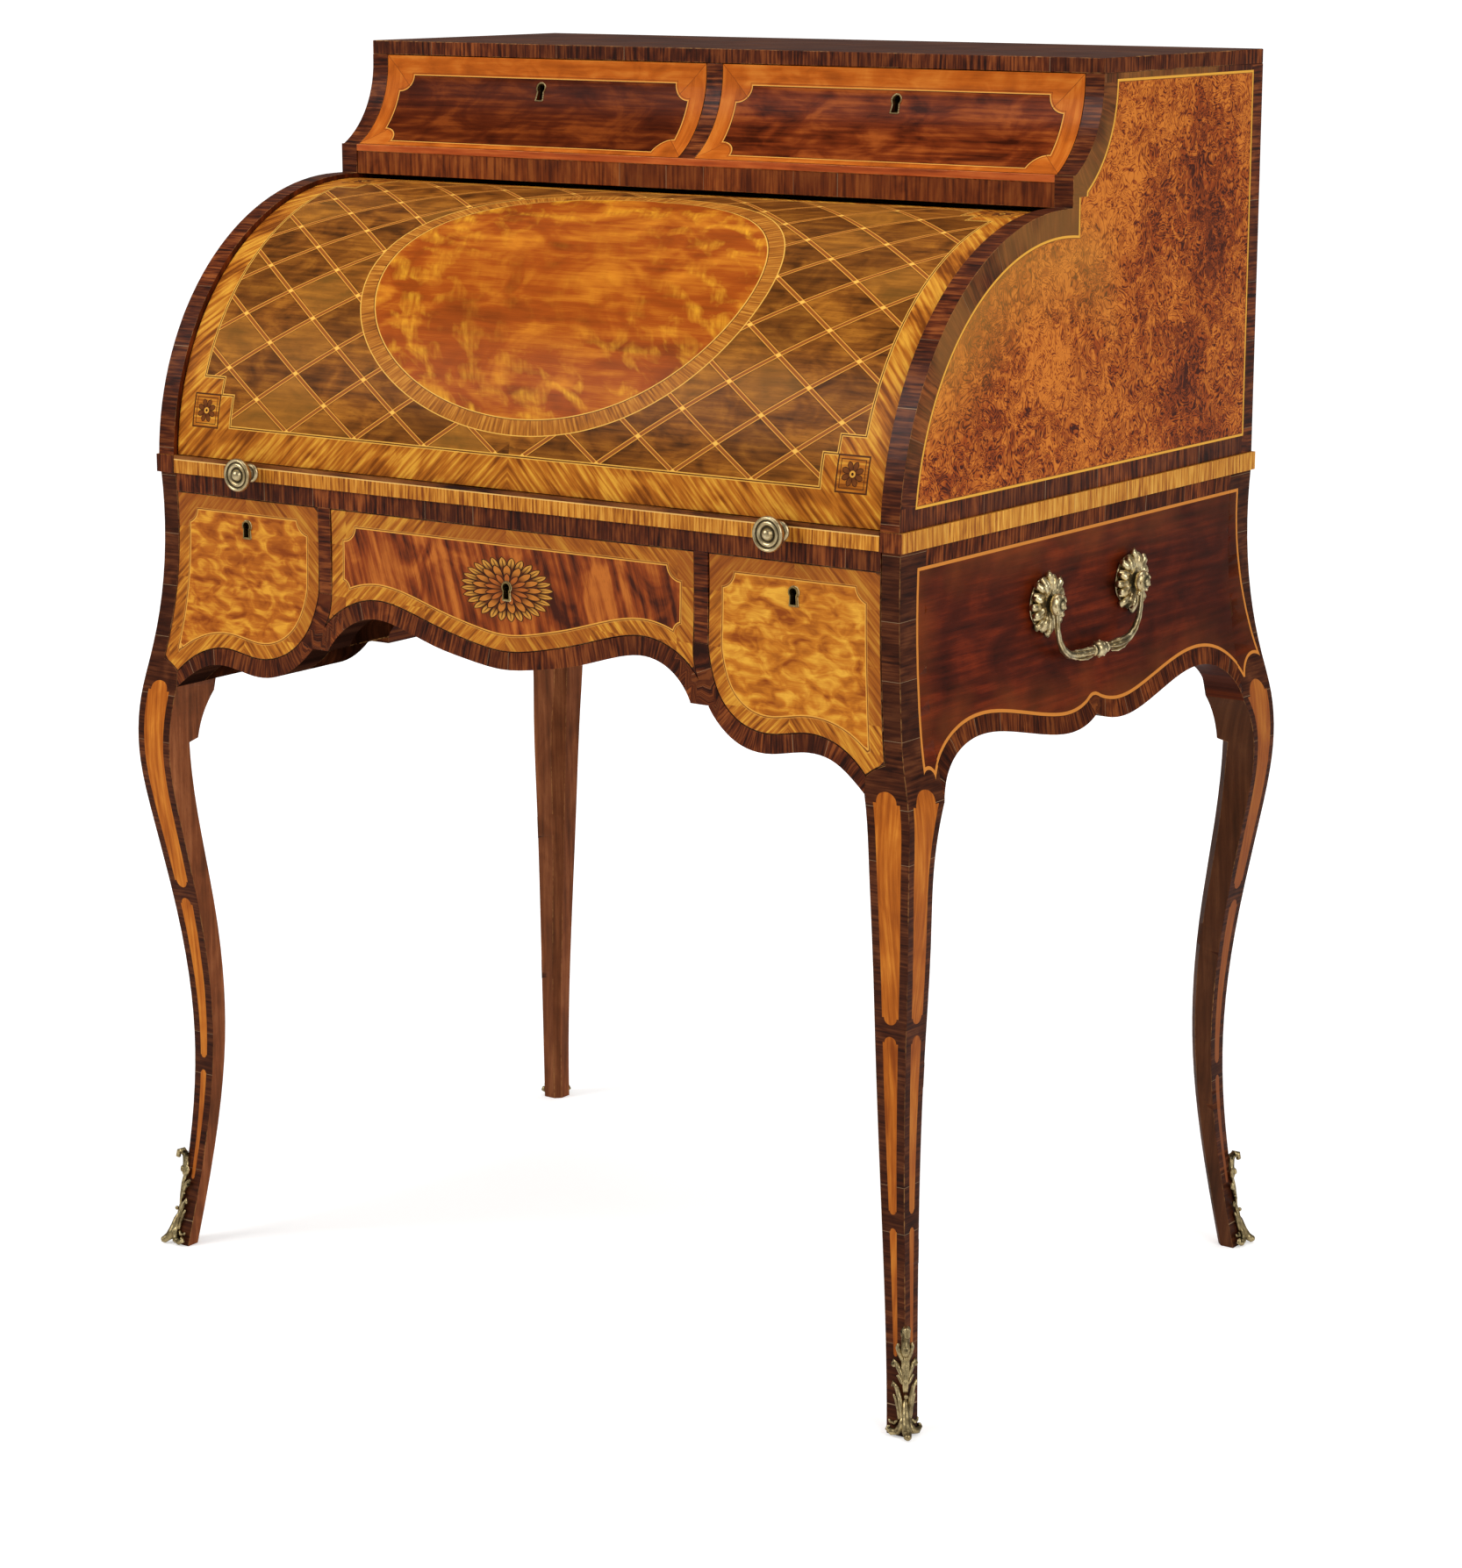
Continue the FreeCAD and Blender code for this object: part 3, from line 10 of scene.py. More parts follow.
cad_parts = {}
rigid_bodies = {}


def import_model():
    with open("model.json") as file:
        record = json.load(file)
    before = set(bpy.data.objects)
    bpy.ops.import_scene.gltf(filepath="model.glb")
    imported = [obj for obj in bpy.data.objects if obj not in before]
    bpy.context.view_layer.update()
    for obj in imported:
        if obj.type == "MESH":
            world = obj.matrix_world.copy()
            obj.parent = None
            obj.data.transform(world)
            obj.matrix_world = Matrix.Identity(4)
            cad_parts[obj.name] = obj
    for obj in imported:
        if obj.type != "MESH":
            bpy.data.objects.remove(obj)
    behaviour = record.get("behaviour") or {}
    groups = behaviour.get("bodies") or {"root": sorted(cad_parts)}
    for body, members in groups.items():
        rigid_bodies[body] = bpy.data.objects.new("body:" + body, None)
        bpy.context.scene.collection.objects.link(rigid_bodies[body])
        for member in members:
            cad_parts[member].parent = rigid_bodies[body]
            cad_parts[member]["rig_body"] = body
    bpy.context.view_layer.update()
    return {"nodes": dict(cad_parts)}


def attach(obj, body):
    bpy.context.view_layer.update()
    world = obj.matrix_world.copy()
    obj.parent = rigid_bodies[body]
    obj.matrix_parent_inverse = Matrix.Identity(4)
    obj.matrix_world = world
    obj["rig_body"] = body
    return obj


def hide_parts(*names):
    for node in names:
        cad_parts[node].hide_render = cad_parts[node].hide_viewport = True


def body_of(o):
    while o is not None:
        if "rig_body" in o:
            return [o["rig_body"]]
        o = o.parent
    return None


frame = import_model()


# Legs. Each cabriole leg and its corner post is sawn from one beech baulk and veneered: kingwood laid across the
# leg on the outer faces, with three long panels of satinwood let in, and plain mahogany on the hidden faces.
class Measure:
    """A number or colour that changes over a surface. Sums of measures become nodes of its material."""

    def __init__(self, tree, socket):
        self.tree, self.socket = tree, socket

    def made(self, operation, *others, clamp=False):
        node = self.tree.nodes.new("ShaderNodeMath")
        node.operation, node.use_clamp = operation, clamp
        for socket, value in zip(node.inputs, (self, *others)):
            feed(socket, value)
        return Measure(self.tree, node.outputs[0])

    __add__ = __radd__ = partialmethod(made, "ADD")
    __sub__ = partialmethod(made, "SUBTRACT")
    __rsub__ = partialmethod(made, "MULTIPLY_ADD", -1.0)
    __mul__ = __rmul__ = partialmethod(made, "MULTIPLY")
    __truediv__ = partialmethod(made, "DIVIDE")
    __neg__ = partialmethod(made, "MULTIPLY", -1.0)
    __abs__ = partialmethod(made, "ABSOLUTE")

    def least(self, *others):
        return reduce(lambda found, other: found.made("MINIMUM", other), others, self)

    def most(self, *others):
        return reduce(lambda found, other: found.made("MAXIMUM", other), others, self)

    def rising(self, low, high):
        """0 up to low, 1 from high on."""
        return self.made("MULTIPLY_ADD", 1.0 / (high - low), -low / (high - low), clamp=True)

    def inside(self, soft=0.25):
        """1 where the measure is above 0, with a soft edge."""
        return self.rising(-soft / 2, soft / 2)

    def between(self, low, high, soft=0.25):
        return (self - low).least(high - self).inside(soft)

    def root_with(self, other):
        """The long side of a right triangle whose short sides are the two measures."""
        return (self * self + other * other).made("SQRT")

    def bitten(self, across, up, *circles):
        """The measure with round bites taken out of it. Each circle has a middle and a radius."""
        return self.least(*((across - x).root_with(up - y) - radius for x, y, radius in circles))


def feed(socket, value):
    """Links a measure to a socket, or sets a number, a vector or the code of a colour there."""
    if isinstance(value, Measure):
        value.tree.links.new(value.socket, socket)
    else:
        socket.default_value = stain(value) if isinstance(value, str) else value


def put(tree, kind, inputs=None, **settings):
    node = tree.nodes.new("ShaderNode" + kind)
    for name, value in settings.items():
        setattr(node, name, value)
    for name, value in (inputs or {}).items():
        feed(node.inputs[name], value)
    return node


def drawn(tree, kind, inputs=None, output=0, **settings):
    """What a new node gives at one of its outputs."""
    return Measure(tree, put(tree, kind, inputs, **settings).outputs[output])


def given(tree, kind, inputs=None, **settings):
    """What a new node gives at all its outputs."""
    return [Measure(tree, output) for output in put(tree, kind, inputs, **settings).outputs]


def noise(a, b, c=0.0, detail=2.0, warp=0.0):
    """Cloudy variation from 0 to 1, about one cloud for each whole step of a, b and c."""
    at = drawn(a.tree, "CombineXYZ", {0: a, 1: b, 2: c})
    return drawn(a.tree, "TexNoise", {"Vector": at, "Scale": 1.0, "Detail": detail, "Distortion": warp})


def lot(number):
    """A value from 0 to 1 of its own for each whole number."""
    return drawn(number.tree, "TexWhiteNoise", {"W": number}, noise_dimensions="1D")


def mixed(under, over, mask):
    """One colour over another where the mask is 1."""
    return drawn(mask.tree, "Mix", {0: mask, 6: under, 7: over}, 2, data_type="RGBA")


def stain(code):
    """A colour from its six hexadecimal digits, as the shaders want it."""
    parts = [int(code[i:i + 2], 16) / 255 for i in (0, 2, 4)]
    return tuple(p / 12.92 if p < 0.04045 else ((p + 0.055) / 1.055) ** 2.4 for p in parts) + (1.0,)


def sockets(tree, side, kind, *names):
    for name in names:
        tree.interface.new_socket(name, in_out=side, socket_type="NodeSocket" + kind)


def arriving(tree):
    """What comes into a node group, in the order of its sockets."""
    return [Measure(tree, socket) for socket in tree.nodes.new("NodeGroupInput").outputs if socket.name]


def leaving(tree, *values):
    for socket, value in zip(tree.nodes.new("NodeGroupOutput").inputs, values):
        feed(socket, value)


veneer = bpy.data.node_groups.new("veneer", "ShaderNodeTree")
sockets(veneer, "INPUT", "Float", "Along", "Across", "Leaf", "Stripe", "Pitch", "Figure", "Reach", "Pores")
sockets(veneer, "INPUT", "Color", "Light", "Middle", "Dark")
sockets(veneer, "OUTPUT", "Color", "Color")
sockets(veneer, "OUTPUT", "Float", "Height")
along, across, leaf, stripe, pitch, wave, reach, holes, light, middle, dark = arriving(veneer)
stripes = noise(along / (pitch * 16.0), across / pitch, leaf * 3.1, 3.0)
figure = noise(along / reach, across / (reach * 0.6), leaf * 5.3, 3.0, 0.9)
fibres = noise(along / 24.0, across / 0.6, leaf * 1.7, 2.0)
pores = noise(along / 5.0, across / 0.4, leaf, 0.0).rising(0.62, 0.78) * holes
tone = (stripes - 0.5) * stripe * 2.6 + (figure - 0.5) * wave * 2.6 + (fibres - 0.5) * 0.4 + 0.5
shaded = mixed(dark, middle, tone.rising(0.05, 0.5))
shaded = mixed(shaded, light, tone.rising(0.5, 0.95))
leaving(veneer, mixed(shaded, dark, pores * 0.6), fibres * 0.4 + stripes * 0.2 - pores * 0.6)

polish = bpy.data.node_groups.new("old_polish", "ShaderNodeTree")
sockets(polish, "INPUT", "Vector", "Place")
sockets(polish, "INPUT", "Float", "Arris", "Crazing")
sockets(polish, "OUTPUT", "Float", "Rub", "Rough", "Height")
place, arris, crazing = arriving(polish)
cloud = drawn(polish, "TexNoise", {"Vector": place, "Scale": 22.0, "Detail": 3.0})
nicks = drawn(polish, "TexNoise", {"Vector": place, "Scale": 260.0, "Detail": 2.0})
cracks = drawn(polish, "TexVoronoi", {"Vector": place, "Scale": 170.0}, feature="DISTANCE_TO_EDGE")
craze = (1.0 - cracks.rising(0.0, 0.035)) * cloud.rising(0.5, 0.62) * crazing
leaving(polish, arris * nicks.rising(0.35, 0.6) * cloud.rising(0.4, 0.6),
        cloud * 0.22 + nicks * 0.08 + craze * 0.2 - 0.04, cloud * 1.2 - craze * 0.8 + nicks * 0.15)


class Finish:
    """One material as it is laid: where a point is in millimetres, the veneers there, and the polish over them."""

    def __init__(self, name):
        self.material = bpy.data.materials.new(name)
        self.material.use_nodes = True
        self.tree = self.material.node_tree
        self.tree.nodes.clear()
        self.place = drawn(self.tree, "TexCoord", output="Object")
        normal = drawn(self.tree, "TexCoord", output="Normal")
        self.x, self.y, self.z = (part * 1000.0 for part in given(self.tree, "SeparateXYZ", {0: self.place}))
        self.nx, self.ny, self.nz = given(self.tree, "SeparateXYZ", {0: normal})

    def kept(self, name):
        """A value that the mesh carries, such as a distance in millimetres."""
        return drawn(self.tree, "Attribute", output="Fac", attribute_name=name)

    def wood(self, species, along, across, leaf=0.0):
        """The colour and the height of a veneer."""
        return given(self.tree, "Group", dict(species, Along=along, Across=across, Leaf=leaf), node_tree=veneer)

    def lay(self, under, over, mask):
        """One veneer let into another where the mask is 1."""
        return mixed(under[0], over[0], mask), drawn(self.tree, "Mix", {0: mask, 2: under[1], 3: over[1]})

    def string(self, under, code, mask):
        """One plain colour over a veneer, such as a thin line."""
        return mixed(under[0], code, mask), under[1]

    def strings(self, layer, measure, *lines):
        """Thin lines side by side. Each has a colour, the measure where it starts and ends, and perhaps a strength."""
        for code, low, high, *strength in lines:
            mask = measure.between(low, high)
            layer = self.string(layer, code, mask * strength[0] if strength else mask)
        return layer

    def ended(self, inputs, height=None, depth=0.0, strength=0.6):
        """The material, ended with a principled shader and perhaps the bumps of a height."""
        if height is not None:
            bumps = {"Height": height, "Strength": strength, "Distance": depth}
            inputs = dict(inputs, Normal=drawn(self.tree, "Bump", bumps))
        shader = put(self.tree, "BsdfPrincipled", inputs)
        self.tree.links.new(shader.outputs[0], put(self.tree, "OutputMaterial").inputs[0])
        return self.material

    def polished(self, layer, gloss=0.34, worn="c08a50", crazing=0.5, coat=0.06, shine=0.09):
        """Old polish over the veneers, rubbed through to the worn tone along the arrises."""
        inputs = {"Place": self.place, "Arris": self.kept("arris"), "Crazing": crazing}
        rub, rough, rise = given(self.tree, "Group", inputs, node_tree=polish)
        return self.ended({"Base Color": mixed(layer[0], worn, rub * 0.45), "Roughness": rough + gloss,
                           "Coat Weight": coat, "Coat Roughness": 0.22, "Specular IOR Level": shine},
                          layer[1] + rise, 0.00006)


def tinted(species, *codes, **figure):
    """A veneer in other tones, given from light to dark, and perhaps with another figure."""
    return {**species, **dict(zip(("Light", "Middle", "Dark"), codes)), **figure}


kingwood = tinted({}, "8e4a1e", "5c260d", "250c04", Stripe=0.9, Pitch=2.2, Figure=0.5, Reach=30.0, Pores=0.4)
mahogany = tinted({}, "702f0f", "481a08", "260b03", Stripe=0.5, Pitch=6.0, Figure=0.7, Reach=60.0, Pores=0.7)
satinwood = tinted({}, "d4832e", "b2601c", "864012", Stripe=0.6, Pitch=3.5, Figure=0.5, Reach=70.0, Pores=0.3)


def crossband(finish, species, run, depth, leaf=52.0, seed=0.0, shade=0.5):
    """Short leaves laid across a band. Each leaf has its own tone, and pale glue shows where some have shrunk."""
    turn = (run + noise(run / 90.0, seed, 0.0, 0.0) * 46.0) / leaf + seed
    number = turn.made("FLOOR")
    chance = lot(number)
    colour, height = finish.wood(species, depth, run, number)
    colour = mixed(colour, species["Dark"], chance * shade)
    joint = (0.5 - abs(turn - number - 0.5)) * leaf
    open_glue = (0.3 - joint).inside(0.3) * chance.rising(0.3, 0.7)
    glue = mixed("1c0b06", "a88a68", chance.rising(0.75, 0.8))
    return mixed(colour, glue, open_glue * 0.7), height - open_glue


def walked(edges):
    """Points every half millimetre along a run of arrises, with how far along each one lies."""
    meeting = {}
    for edge in edges:
        for vertex in edge.verts:
            meeting.setdefault(vertex, []).append(edge)
    left, points, gone = set(edges), [], 0.0
    while left:
        ends = [v for v, near in meeting.items() if sum(e in left for e in near) == 1]
        here = min(ends or [v for e in left for v in e.verts], key=lambda v: tuple(v.co))
        while True:
            ahead = [e for e in meeting[here] if e in left]
            if not ahead:
                break
            left.discard(ahead[0])
            there = ahead[0].other_vert(here)
            steps = max(1, math.ceil((there.co - here.co).length / 0.0005))
            for step in range(steps + 1):
                point = here.co.lerp(there.co, step / steps)
                points.append((point, gone + (point - here.co).length))
            gone += (there.co - here.co).length
            here = there
    return points


def traced(edges):
    """The points along a run of arrises, ready to be searched for the nearest."""
    points = walked(edges)
    tree = KDTree(len(points))
    for number, (point, along) in enumerate(points):
        tree.insert(point, number)
    tree.balance()
    return tree, [along for point, along in points]


def placed(name, data):
    """A new object in the scene."""
    piece = bpy.data.objects.new(name, data)
    bpy.context.scene.collection.objects.link(piece)
    return piece


def meshed(bm, name, finish):
    """A finished mesh as an object in the scene."""
    mesh = bpy.data.meshes.new(name)
    bm.to_mesh(mesh)
    bm.free()
    mesh.materials.append(finish)
    return placed(name, mesh)


def settled(bm, name, node, finish, replaced=True):
    """A finished mesh as an object that moves with the body of a CAD node, and mostly stands in for that node."""
    for face in bm.faces:
        face.smooth = True
    piece = meshed(bm, name, finish)
    if replaced:
        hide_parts(node)
    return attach(piece, body_of(frame["nodes"][node])[0])


MIDDLE_Y = 3.8


def eased(node, finish, cuts=(), lines=None, ease=0.5, sag=0.0):
    """A copy of a CAD piece with its arrises rubbed round. Cut finely, it carries its distances from lines of arrises.
    The seams between the posts and the sides stay sharp."""
    bm = bmesh.new()
    bm.from_mesh(frame["nodes"][node].data)
    bmesh.ops.remove_doubles(bm, verts=bm.verts, dist=0.00001)
    bmesh.ops.dissolve_limit(bm, angle_limit=math.radians(0.4), verts=bm.verts, edges=bm.edges)
    foot = min(vertex.co.z for vertex in bm.verts) + 0.0005
    bmesh.ops.translate(bm, verts=[v for v in bm.verts if v.co.z < foot], vec=(0.0, 0.0, -sag / 1000))
    arris = bm.faces.layers.float.new("arris")
    arrises = [(e, (e.verts[0].co + e.verts[1].co) / 2) for e in bm.edges
               if e.is_manifold and e.calc_face_angle() > math.radians(32)]
    found = {name: traced([e for e, point in arrises if keep(e, point)]) for name, keep in (lines or {}).items()}
    seam_y, side_x, play = 0.237, 0.34, 0.0012
    free = [e for e, point in arrises
            if abs(abs(point.y - MIDDLE_Y / 1000) - seam_y) > play or abs(point.x) < side_x]
    rubbed = bmesh.ops.bevel(bm, geom=free, offset=ease / 1000, affect="EDGES", segments=2, profile=0.5, material=-1,
                             clamp_overlap=True)["faces"]
    for face in rubbed:
        face[arris] = 1.0
    for axis, step in cuts:
        reach = [v.co[axis] for v in bm.verts]
        level = min(reach) + step
        while level < max(reach) - step / 2:
            normal = Vector((axis == 0, axis == 1, axis == 2))
            bmesh.ops.bisect_plane(bm, geom=bm.verts[:] + bm.edges[:] + bm.faces[:], dist=0.00001,
                                   plane_co=normal * level, plane_no=normal)
            level += step
    for name, (tree, along) in found.items():
        away = bm.verts.layers.float.new(name)
        run = bm.verts.layers.float.new(name + "_run")
        for vertex in bm.verts:
            point, number, distance = tree.find(vertex.co)
            vertex[away], vertex[run] = distance * 1000, along[number] * 1000
    piece = settled(bm, node + "_veneered", node, finish)
    piece.data.set_sharp_from_angle(angle=math.radians(50))
    piece.modifiers.new("even_shading", "WEIGHTED_NORMAL").keep_sharp = True


side_mahogany = tinted(mahogany, "78290c", "4e1807", Figure=0.5)


def side_field(finish):
    """How far a point on the lower side lies inside the mahogany field, over both posts and the panel."""
    drop = (671.0 - finish.z).most(0.0)
    front = finish.y + 242.0 + drop * drop * 0.0004
    back = 253.0 + drop * drop * 0.0013 - finish.y
    arches = (-187.5, 485.8, 62.6), (194.5, 485.5, 63.3)
    cusps = (-247.5, 516.5, 10.5), (270.0, 512.0, 23.0)
    return front.least(back, 673.0 - finish.z).bitten(finish.y, finish.z, *arches, *cusps)


def side_stringing(finish, ground, field, inner):
    """The mahogany field, darker in its middle, with painted shade darkening it towards the back, and the yellow string
    and dark line round it.
    """
    worn = (1.0 - field.rising(0.0, 34.0)) * noise(finish.y / 50.0, finish.z / 50.0, 9.0).rising(0.3, 0.62)
    inner = finish.string(inner, "7e3f18", worn * 0.55)
    # Painted shade: the field is darkened towards the back, where less light falls.
    inner = finish.string(inner, "2a0f07", finish.y.rising(20.0, 230.0) * 0.45)
    layer = finish.lay(ground, inner, field.inside())
    return finish.strings(layer, field, ("cf8236", -2.6, 0.1), ("2a140c", -3.0, -2.6))


leg = Finish("leg_veneer")
outward = leg.x.made("SIGN")
on_side = (leg.nx * outward).rising(0.45, 0.6)
on_front = (-leg.ny).rising(0.45, 0.6) * leg.y.made("LESS_THAN", 0.0)
at_back = leg.y.made("GREATER_THAN", 0.0)
level = leg.x * on_front + leg.y * (1.0 - on_front)
outer, inner = leg.kept("corner"), leg.kept("edge")
off = (outer - inner) / 2.0
margin = 7.2
half = (outer + inner) / 2.0 - margin
ends = (92.3 - abs(leg.z - 419.4)).most(73.1 - abs(leg.z - 244.1), 50.0 - abs(leg.z - 110.0))
lobe = half * 0.76
panel = (half - abs(off)).least(ends - lobe).most(lobe - off.root_with(lobe - ends))
panel = panel.inside() * on_side.most(on_front)
bands = crossband(leg, tinted(kingwood, "6e3c20", "4c2412", "27110a", Stripe=0.7), leg.z, level, 44.0, 2.0)
plain = leg.wood(tinted(mahogany, "ae6a40", "864a2a", "54301c", Figure=0.4), leg.z, leg.x + leg.y)
# Painted shade: the front faces of the back legs, in the shade under the desk, are darkened, the right one more.
plain = leg.string(plain, "2c1c12", (-leg.ny).rising(0.45, 0.6) * at_back * (outward * 0.2 + 0.52))
face = leg.lay(plain, bands, on_side.most(on_front))
low, side_low = (260.0 - leg.z).rising(0.0, 160.0), (500.0 - leg.z).rising(0.0, 160.0) * on_side
# Painted shade dims the satinwood panels on the back legs; every panel is also darkened towards the bottom of the leg,
# the outer side panels more so.
panel_shade_and_darkening = at_back * 0.45 + low * 0.25 + side_low * 0.3
face = leg.lay(face, leg.string(leg.wood(satinwood, leg.z, level), "84492a", panel_shade_and_darkening), panel)
with_field = side_stringing(leg, face, side_field(leg), leg.wood(side_mahogany, leg.y, leg.z))
lowest_cusp = 516.0
face = leg.lay(face, with_field, on_side * (leg.z - lowest_cusp).inside())
leg_veneer = leg.polished(face, 0.36, coat=0.03, shine=0.05)


def corner(edge, point):
    """True on the outer corner of a leg."""
    out = Vector((math.copysign(1, point.x), math.copysign(1, point.y), 0))
    return all(any(face.normal[axis] * out[axis] > 0.6 for face in edge.link_faces) for axis in (0, 1))


for side in ("right", "left"):
    for row in ("front", "back"):
        eased(f"leg_{row}_{side}", leg_veneer, cuts=((2, 0.006),),
              lines={"corner": corner,
                     "edge": lambda edge, point: not corner(edge, point) and 0.005 < point.z < 0.685})


# Foot mounts. Four bronze shoes, each cast from a wax built up of rolled scrolls round a ribbed stem, chased, gilt long
# ago and now dark in the hollows; a slotted screw under the curl holds each one to the corner of its leg.
def swept(bm, stations, sides=8, flute=0.0):
    """A roll of wax drawn out along stations of a point and a radius in millimetres, fluted if asked."""
    points = [Vector(point) / 1000 for point, radius in stations]
    ring = bmesh.ops.create_circle(bm, cap_ends=True, segments=sides, radius=1.0)["verts"]
    bmesh.ops.scale(bm, vec=(1.0 - flute, 1.0 - flute, 1.0), verts=ring[::2])
    turn = (points[1] - points[0]).to_track_quat("Z", "Y")
    before, end = Matrix.Identity(4), ring[0].link_faces[0]
    for number, (point, radius) in enumerate(stations):
        ahead = points[min(number + 1, len(points) - 1)] - points[max(number - 1, 0)]
        turn = (turn @ Vector((0.0, 0.0, 1.0))).rotation_difference(ahead) @ turn
        if number:
            grown = bmesh.ops.extrude_face_region(bm, geom=[end])["geom"]
            end = next(part for part in grown if isinstance(part, bmesh.types.BMFace))
            ring = [part for part in grown if isinstance(part, bmesh.types.BMVert)]
        after = Matrix.LocRotScale(points[number], turn, Vector((radius, radius, radius)) / 1000)
        bmesh.ops.transform(bm, matrix=after @ before.inverted(), verts=ring)
        before = after
    bmesh.ops.holes_fill(bm, edges=[edge for edge in bm.edges if edge.is_boundary], sides=sides)


def bead(bm, point, radius):
    place = Matrix.Translation(Vector(point) / 1000)
    bmesh.ops.create_icosphere(bm, subdivisions=1, radius=radius / 1000, matrix=place)


def turned(bm, outline, matrix, steps=40):
    """A piece turned in the lathe, from an outline of (radius, height) in millimetres, set in place by a matrix."""
    before = set(bm.verts)
    corners = [bm.verts.new((radius / 1000, 0.0, height / 1000)) for radius, height in outline]
    edges = [bm.edges.new(pair) for pair in zip(corners, corners[1:])]
    bmesh.ops.spin(bm, geom=corners + edges, axis=(0, 0, 1), cent=(0, 0, 0), steps=steps, angle=math.tau,
                   use_merge=True)
    bmesh.ops.transform(bm, matrix=matrix, verts=[vertex for vertex in bm.verts if vertex not in before])


def again(bm, matrix):
    """Everything made so far, once more somewhere else."""
    copy = bmesh.ops.duplicate(bm, geom=bm.verts[:] + bm.edges[:] + bm.faces[:])["geom"]
    bmesh.ops.transform(bm, matrix=matrix, verts=[part for part in copy if isinstance(part, bmesh.types.BMVert)])


def cast(bm, node, finish):
    """The finished casting in place of a CAD node, with its hollows marked for the dirt that settles there."""
    bmesh.ops.remove_doubles(bm, verts=bm.verts, dist=0.000002)
    bmesh.ops.recalc_face_normals(bm, faces=bm.faces)
    hollow = bm.verts.layers.float.new("hollow")
    bm.normal_update()
    for vertex in bm.verts:
        dips = [vertex.normal.dot((e.other_vert(vertex).co - vertex.co).normalized()) for e in vertex.link_edges]
        vertex[hollow] = sum(dips) / max(1, len(dips))
    rounded = settled(bm, node + "_cast", node, finish).modifiers.new("rounded", "SUBSURF")
    rounded.levels = rounded.render_levels = 1


def metal(name, bright, dull, dirt, rough=0.3, recess=(-0.02, 0.22)):
    """Old metal: bright where hands rub it, dull in clouds, and dirty in its hollows."""
    made = Finish(name)
    cloud = noise(made.x / 9.0, made.y / 9.0, made.z / 9.0, 3.0)
    grit = noise(made.x / 0.9, made.y / 0.9, made.z / 0.9, 2.0)
    deep = (made.kept("hollow") + (grit - 0.5) * 0.12).rising(*recess)
    colour = mixed(bright, dull, (cloud + grit * 0.4).rising(0.55, 0.95))
    return made.ended({"Base Color": mixed(colour, dirt, deep * 0.9), "Metallic": 1.0,
                       "Roughness": cloud * 0.2 + deep * 0.3 + rough}, grit + cloud, 0.00012, 0.5)


def on_foot(along, out, height):
    """A point of the front right shoe: so far round the leg's corner, so far out from it, and so high."""
    slant, nose = 0.7071, 3.0
    diagonal = out - (math.hypot(along, nose) - nose) * slant
    return (385.9 - 0.127 * height + 0.00015 * height ** 2 + (diagonal + along * slant) * slant,
            -270.8 + 0.187 * height - 0.0004 * height ** 2 + (along * slant - diagonal) * slant, height)


shoe = bmesh.new()


def scroll(*stations, ways=(1,), flute=0.0):
    """A scroll of the shoe, and perhaps its twin on the other side. A station is a point on the foot and a radius."""
    for way in ways:
        line = [(on_foot(along * way, out, height), radius) for along, out, height, radius in stations]
        swept(shoe, line, flute=flute)


both = (-1, 1)
scroll((0, -1.5, 30, 1.8), (0, 1.0, 22, 3.2), (0, 2.6, 13, 4.0), (0, 5.0, 6.5, 4.2), (0, 9.0, 3.6, 3.5),
       (0, 12, 3.4, 2.2))
bead(shoe, on_foot(0, 2.6, 32), 2.5)
scroll((0.6, 0.2, 33, 1.0), (0.75, 1.0, 44, 1.2), (1, 1.3, 54, 1.3), (1.1, 1.0, 63, 1.1), ways=(-3.0, -1.0, 1.0, 3.0))
scroll((0, -1.0, 60, 3.2), (0, 0.2, 66, 4.2), (0, 0.4, 73, 3.8), (0, 1.8, 80, 3.6), (0, 5.0, 85, 3.4),
       (0, 8.2, 84, 3.0), (0, 8.6, 80, 2.5), (0, 6.4, 78.6, 1.8), flute=0.14)
scroll((1, 0.5, 76, 1.4), (1, 2.6, 82, 2.0), (0.9, 5.2, 84.5, 1.9), (0.8, 7.4, 81.5, 1.3), ways=(-3.2, 3.2))
scroll((2, 0, 57, 1.6), (5.5, 1.4, 63, 2.1), (8.2, 2.6, 69, 1.9), (7.4, 3.6, 73, 1.2), ways=both)
scroll((2, 0, 42, 1.4), (5.0, 1.6, 49, 1.9), (8.5, 2.6, 55.5, 2.3), (11.8, 3.4, 58.6, 2.2), (13.2, 4.0, 55.6, 1.9),
       (11.2, 4.6, 53.6, 1.4), ways=both, flute=0.1)
scroll((2.6, 0.6, 40, 1.2), (5.2, 2.0, 44, 1.7), (7.8, 3.0, 47.4, 1.5), (9.6, 3.2, 47, 1.0), ways=both)
scroll((3.4, 0.8, 9, 2.0), (4.4, 1.2, 20, 2.2), (6.2, 2.0, 30, 2.3), (9.2, 2.6, 38, 2.2), (12.4, 3.0, 41.6, 1.9),
       (13.6, 3.2, 37.6, 1.3), ways=both, flute=0.12)
scroll((6.2, 0.6, 12, 1.2), (7.4, 1.2, 21, 1.5), (9.8, 1.8, 29, 1.5), (12.2, 2.2, 33, 1.0), ways=both)
scroll((2.5, 1.0, 17, 2.0), (5.0, 2.6, 9.5, 3.0), (9.0, 3.8, 5.0, 3.5), (14.0, 4.4, 3.9, 3.3), (18.0, 4.4, 6.0, 2.6),
       (16.6, 5.0, 9.4, 1.8), ways=both, flute=0.12)
scroll((7.0, 0.4, 13, 1.4), (11.0, 1.8, 10.0, 1.9), (15.0, 2.0, 10.6, 1.4), (16.4, 2.2, 13, 0.8), ways=both)
head = Vector((1.0, -1.0, 0.24)).normalized().to_track_quat("Z", "Y").to_matrix().to_4x4()
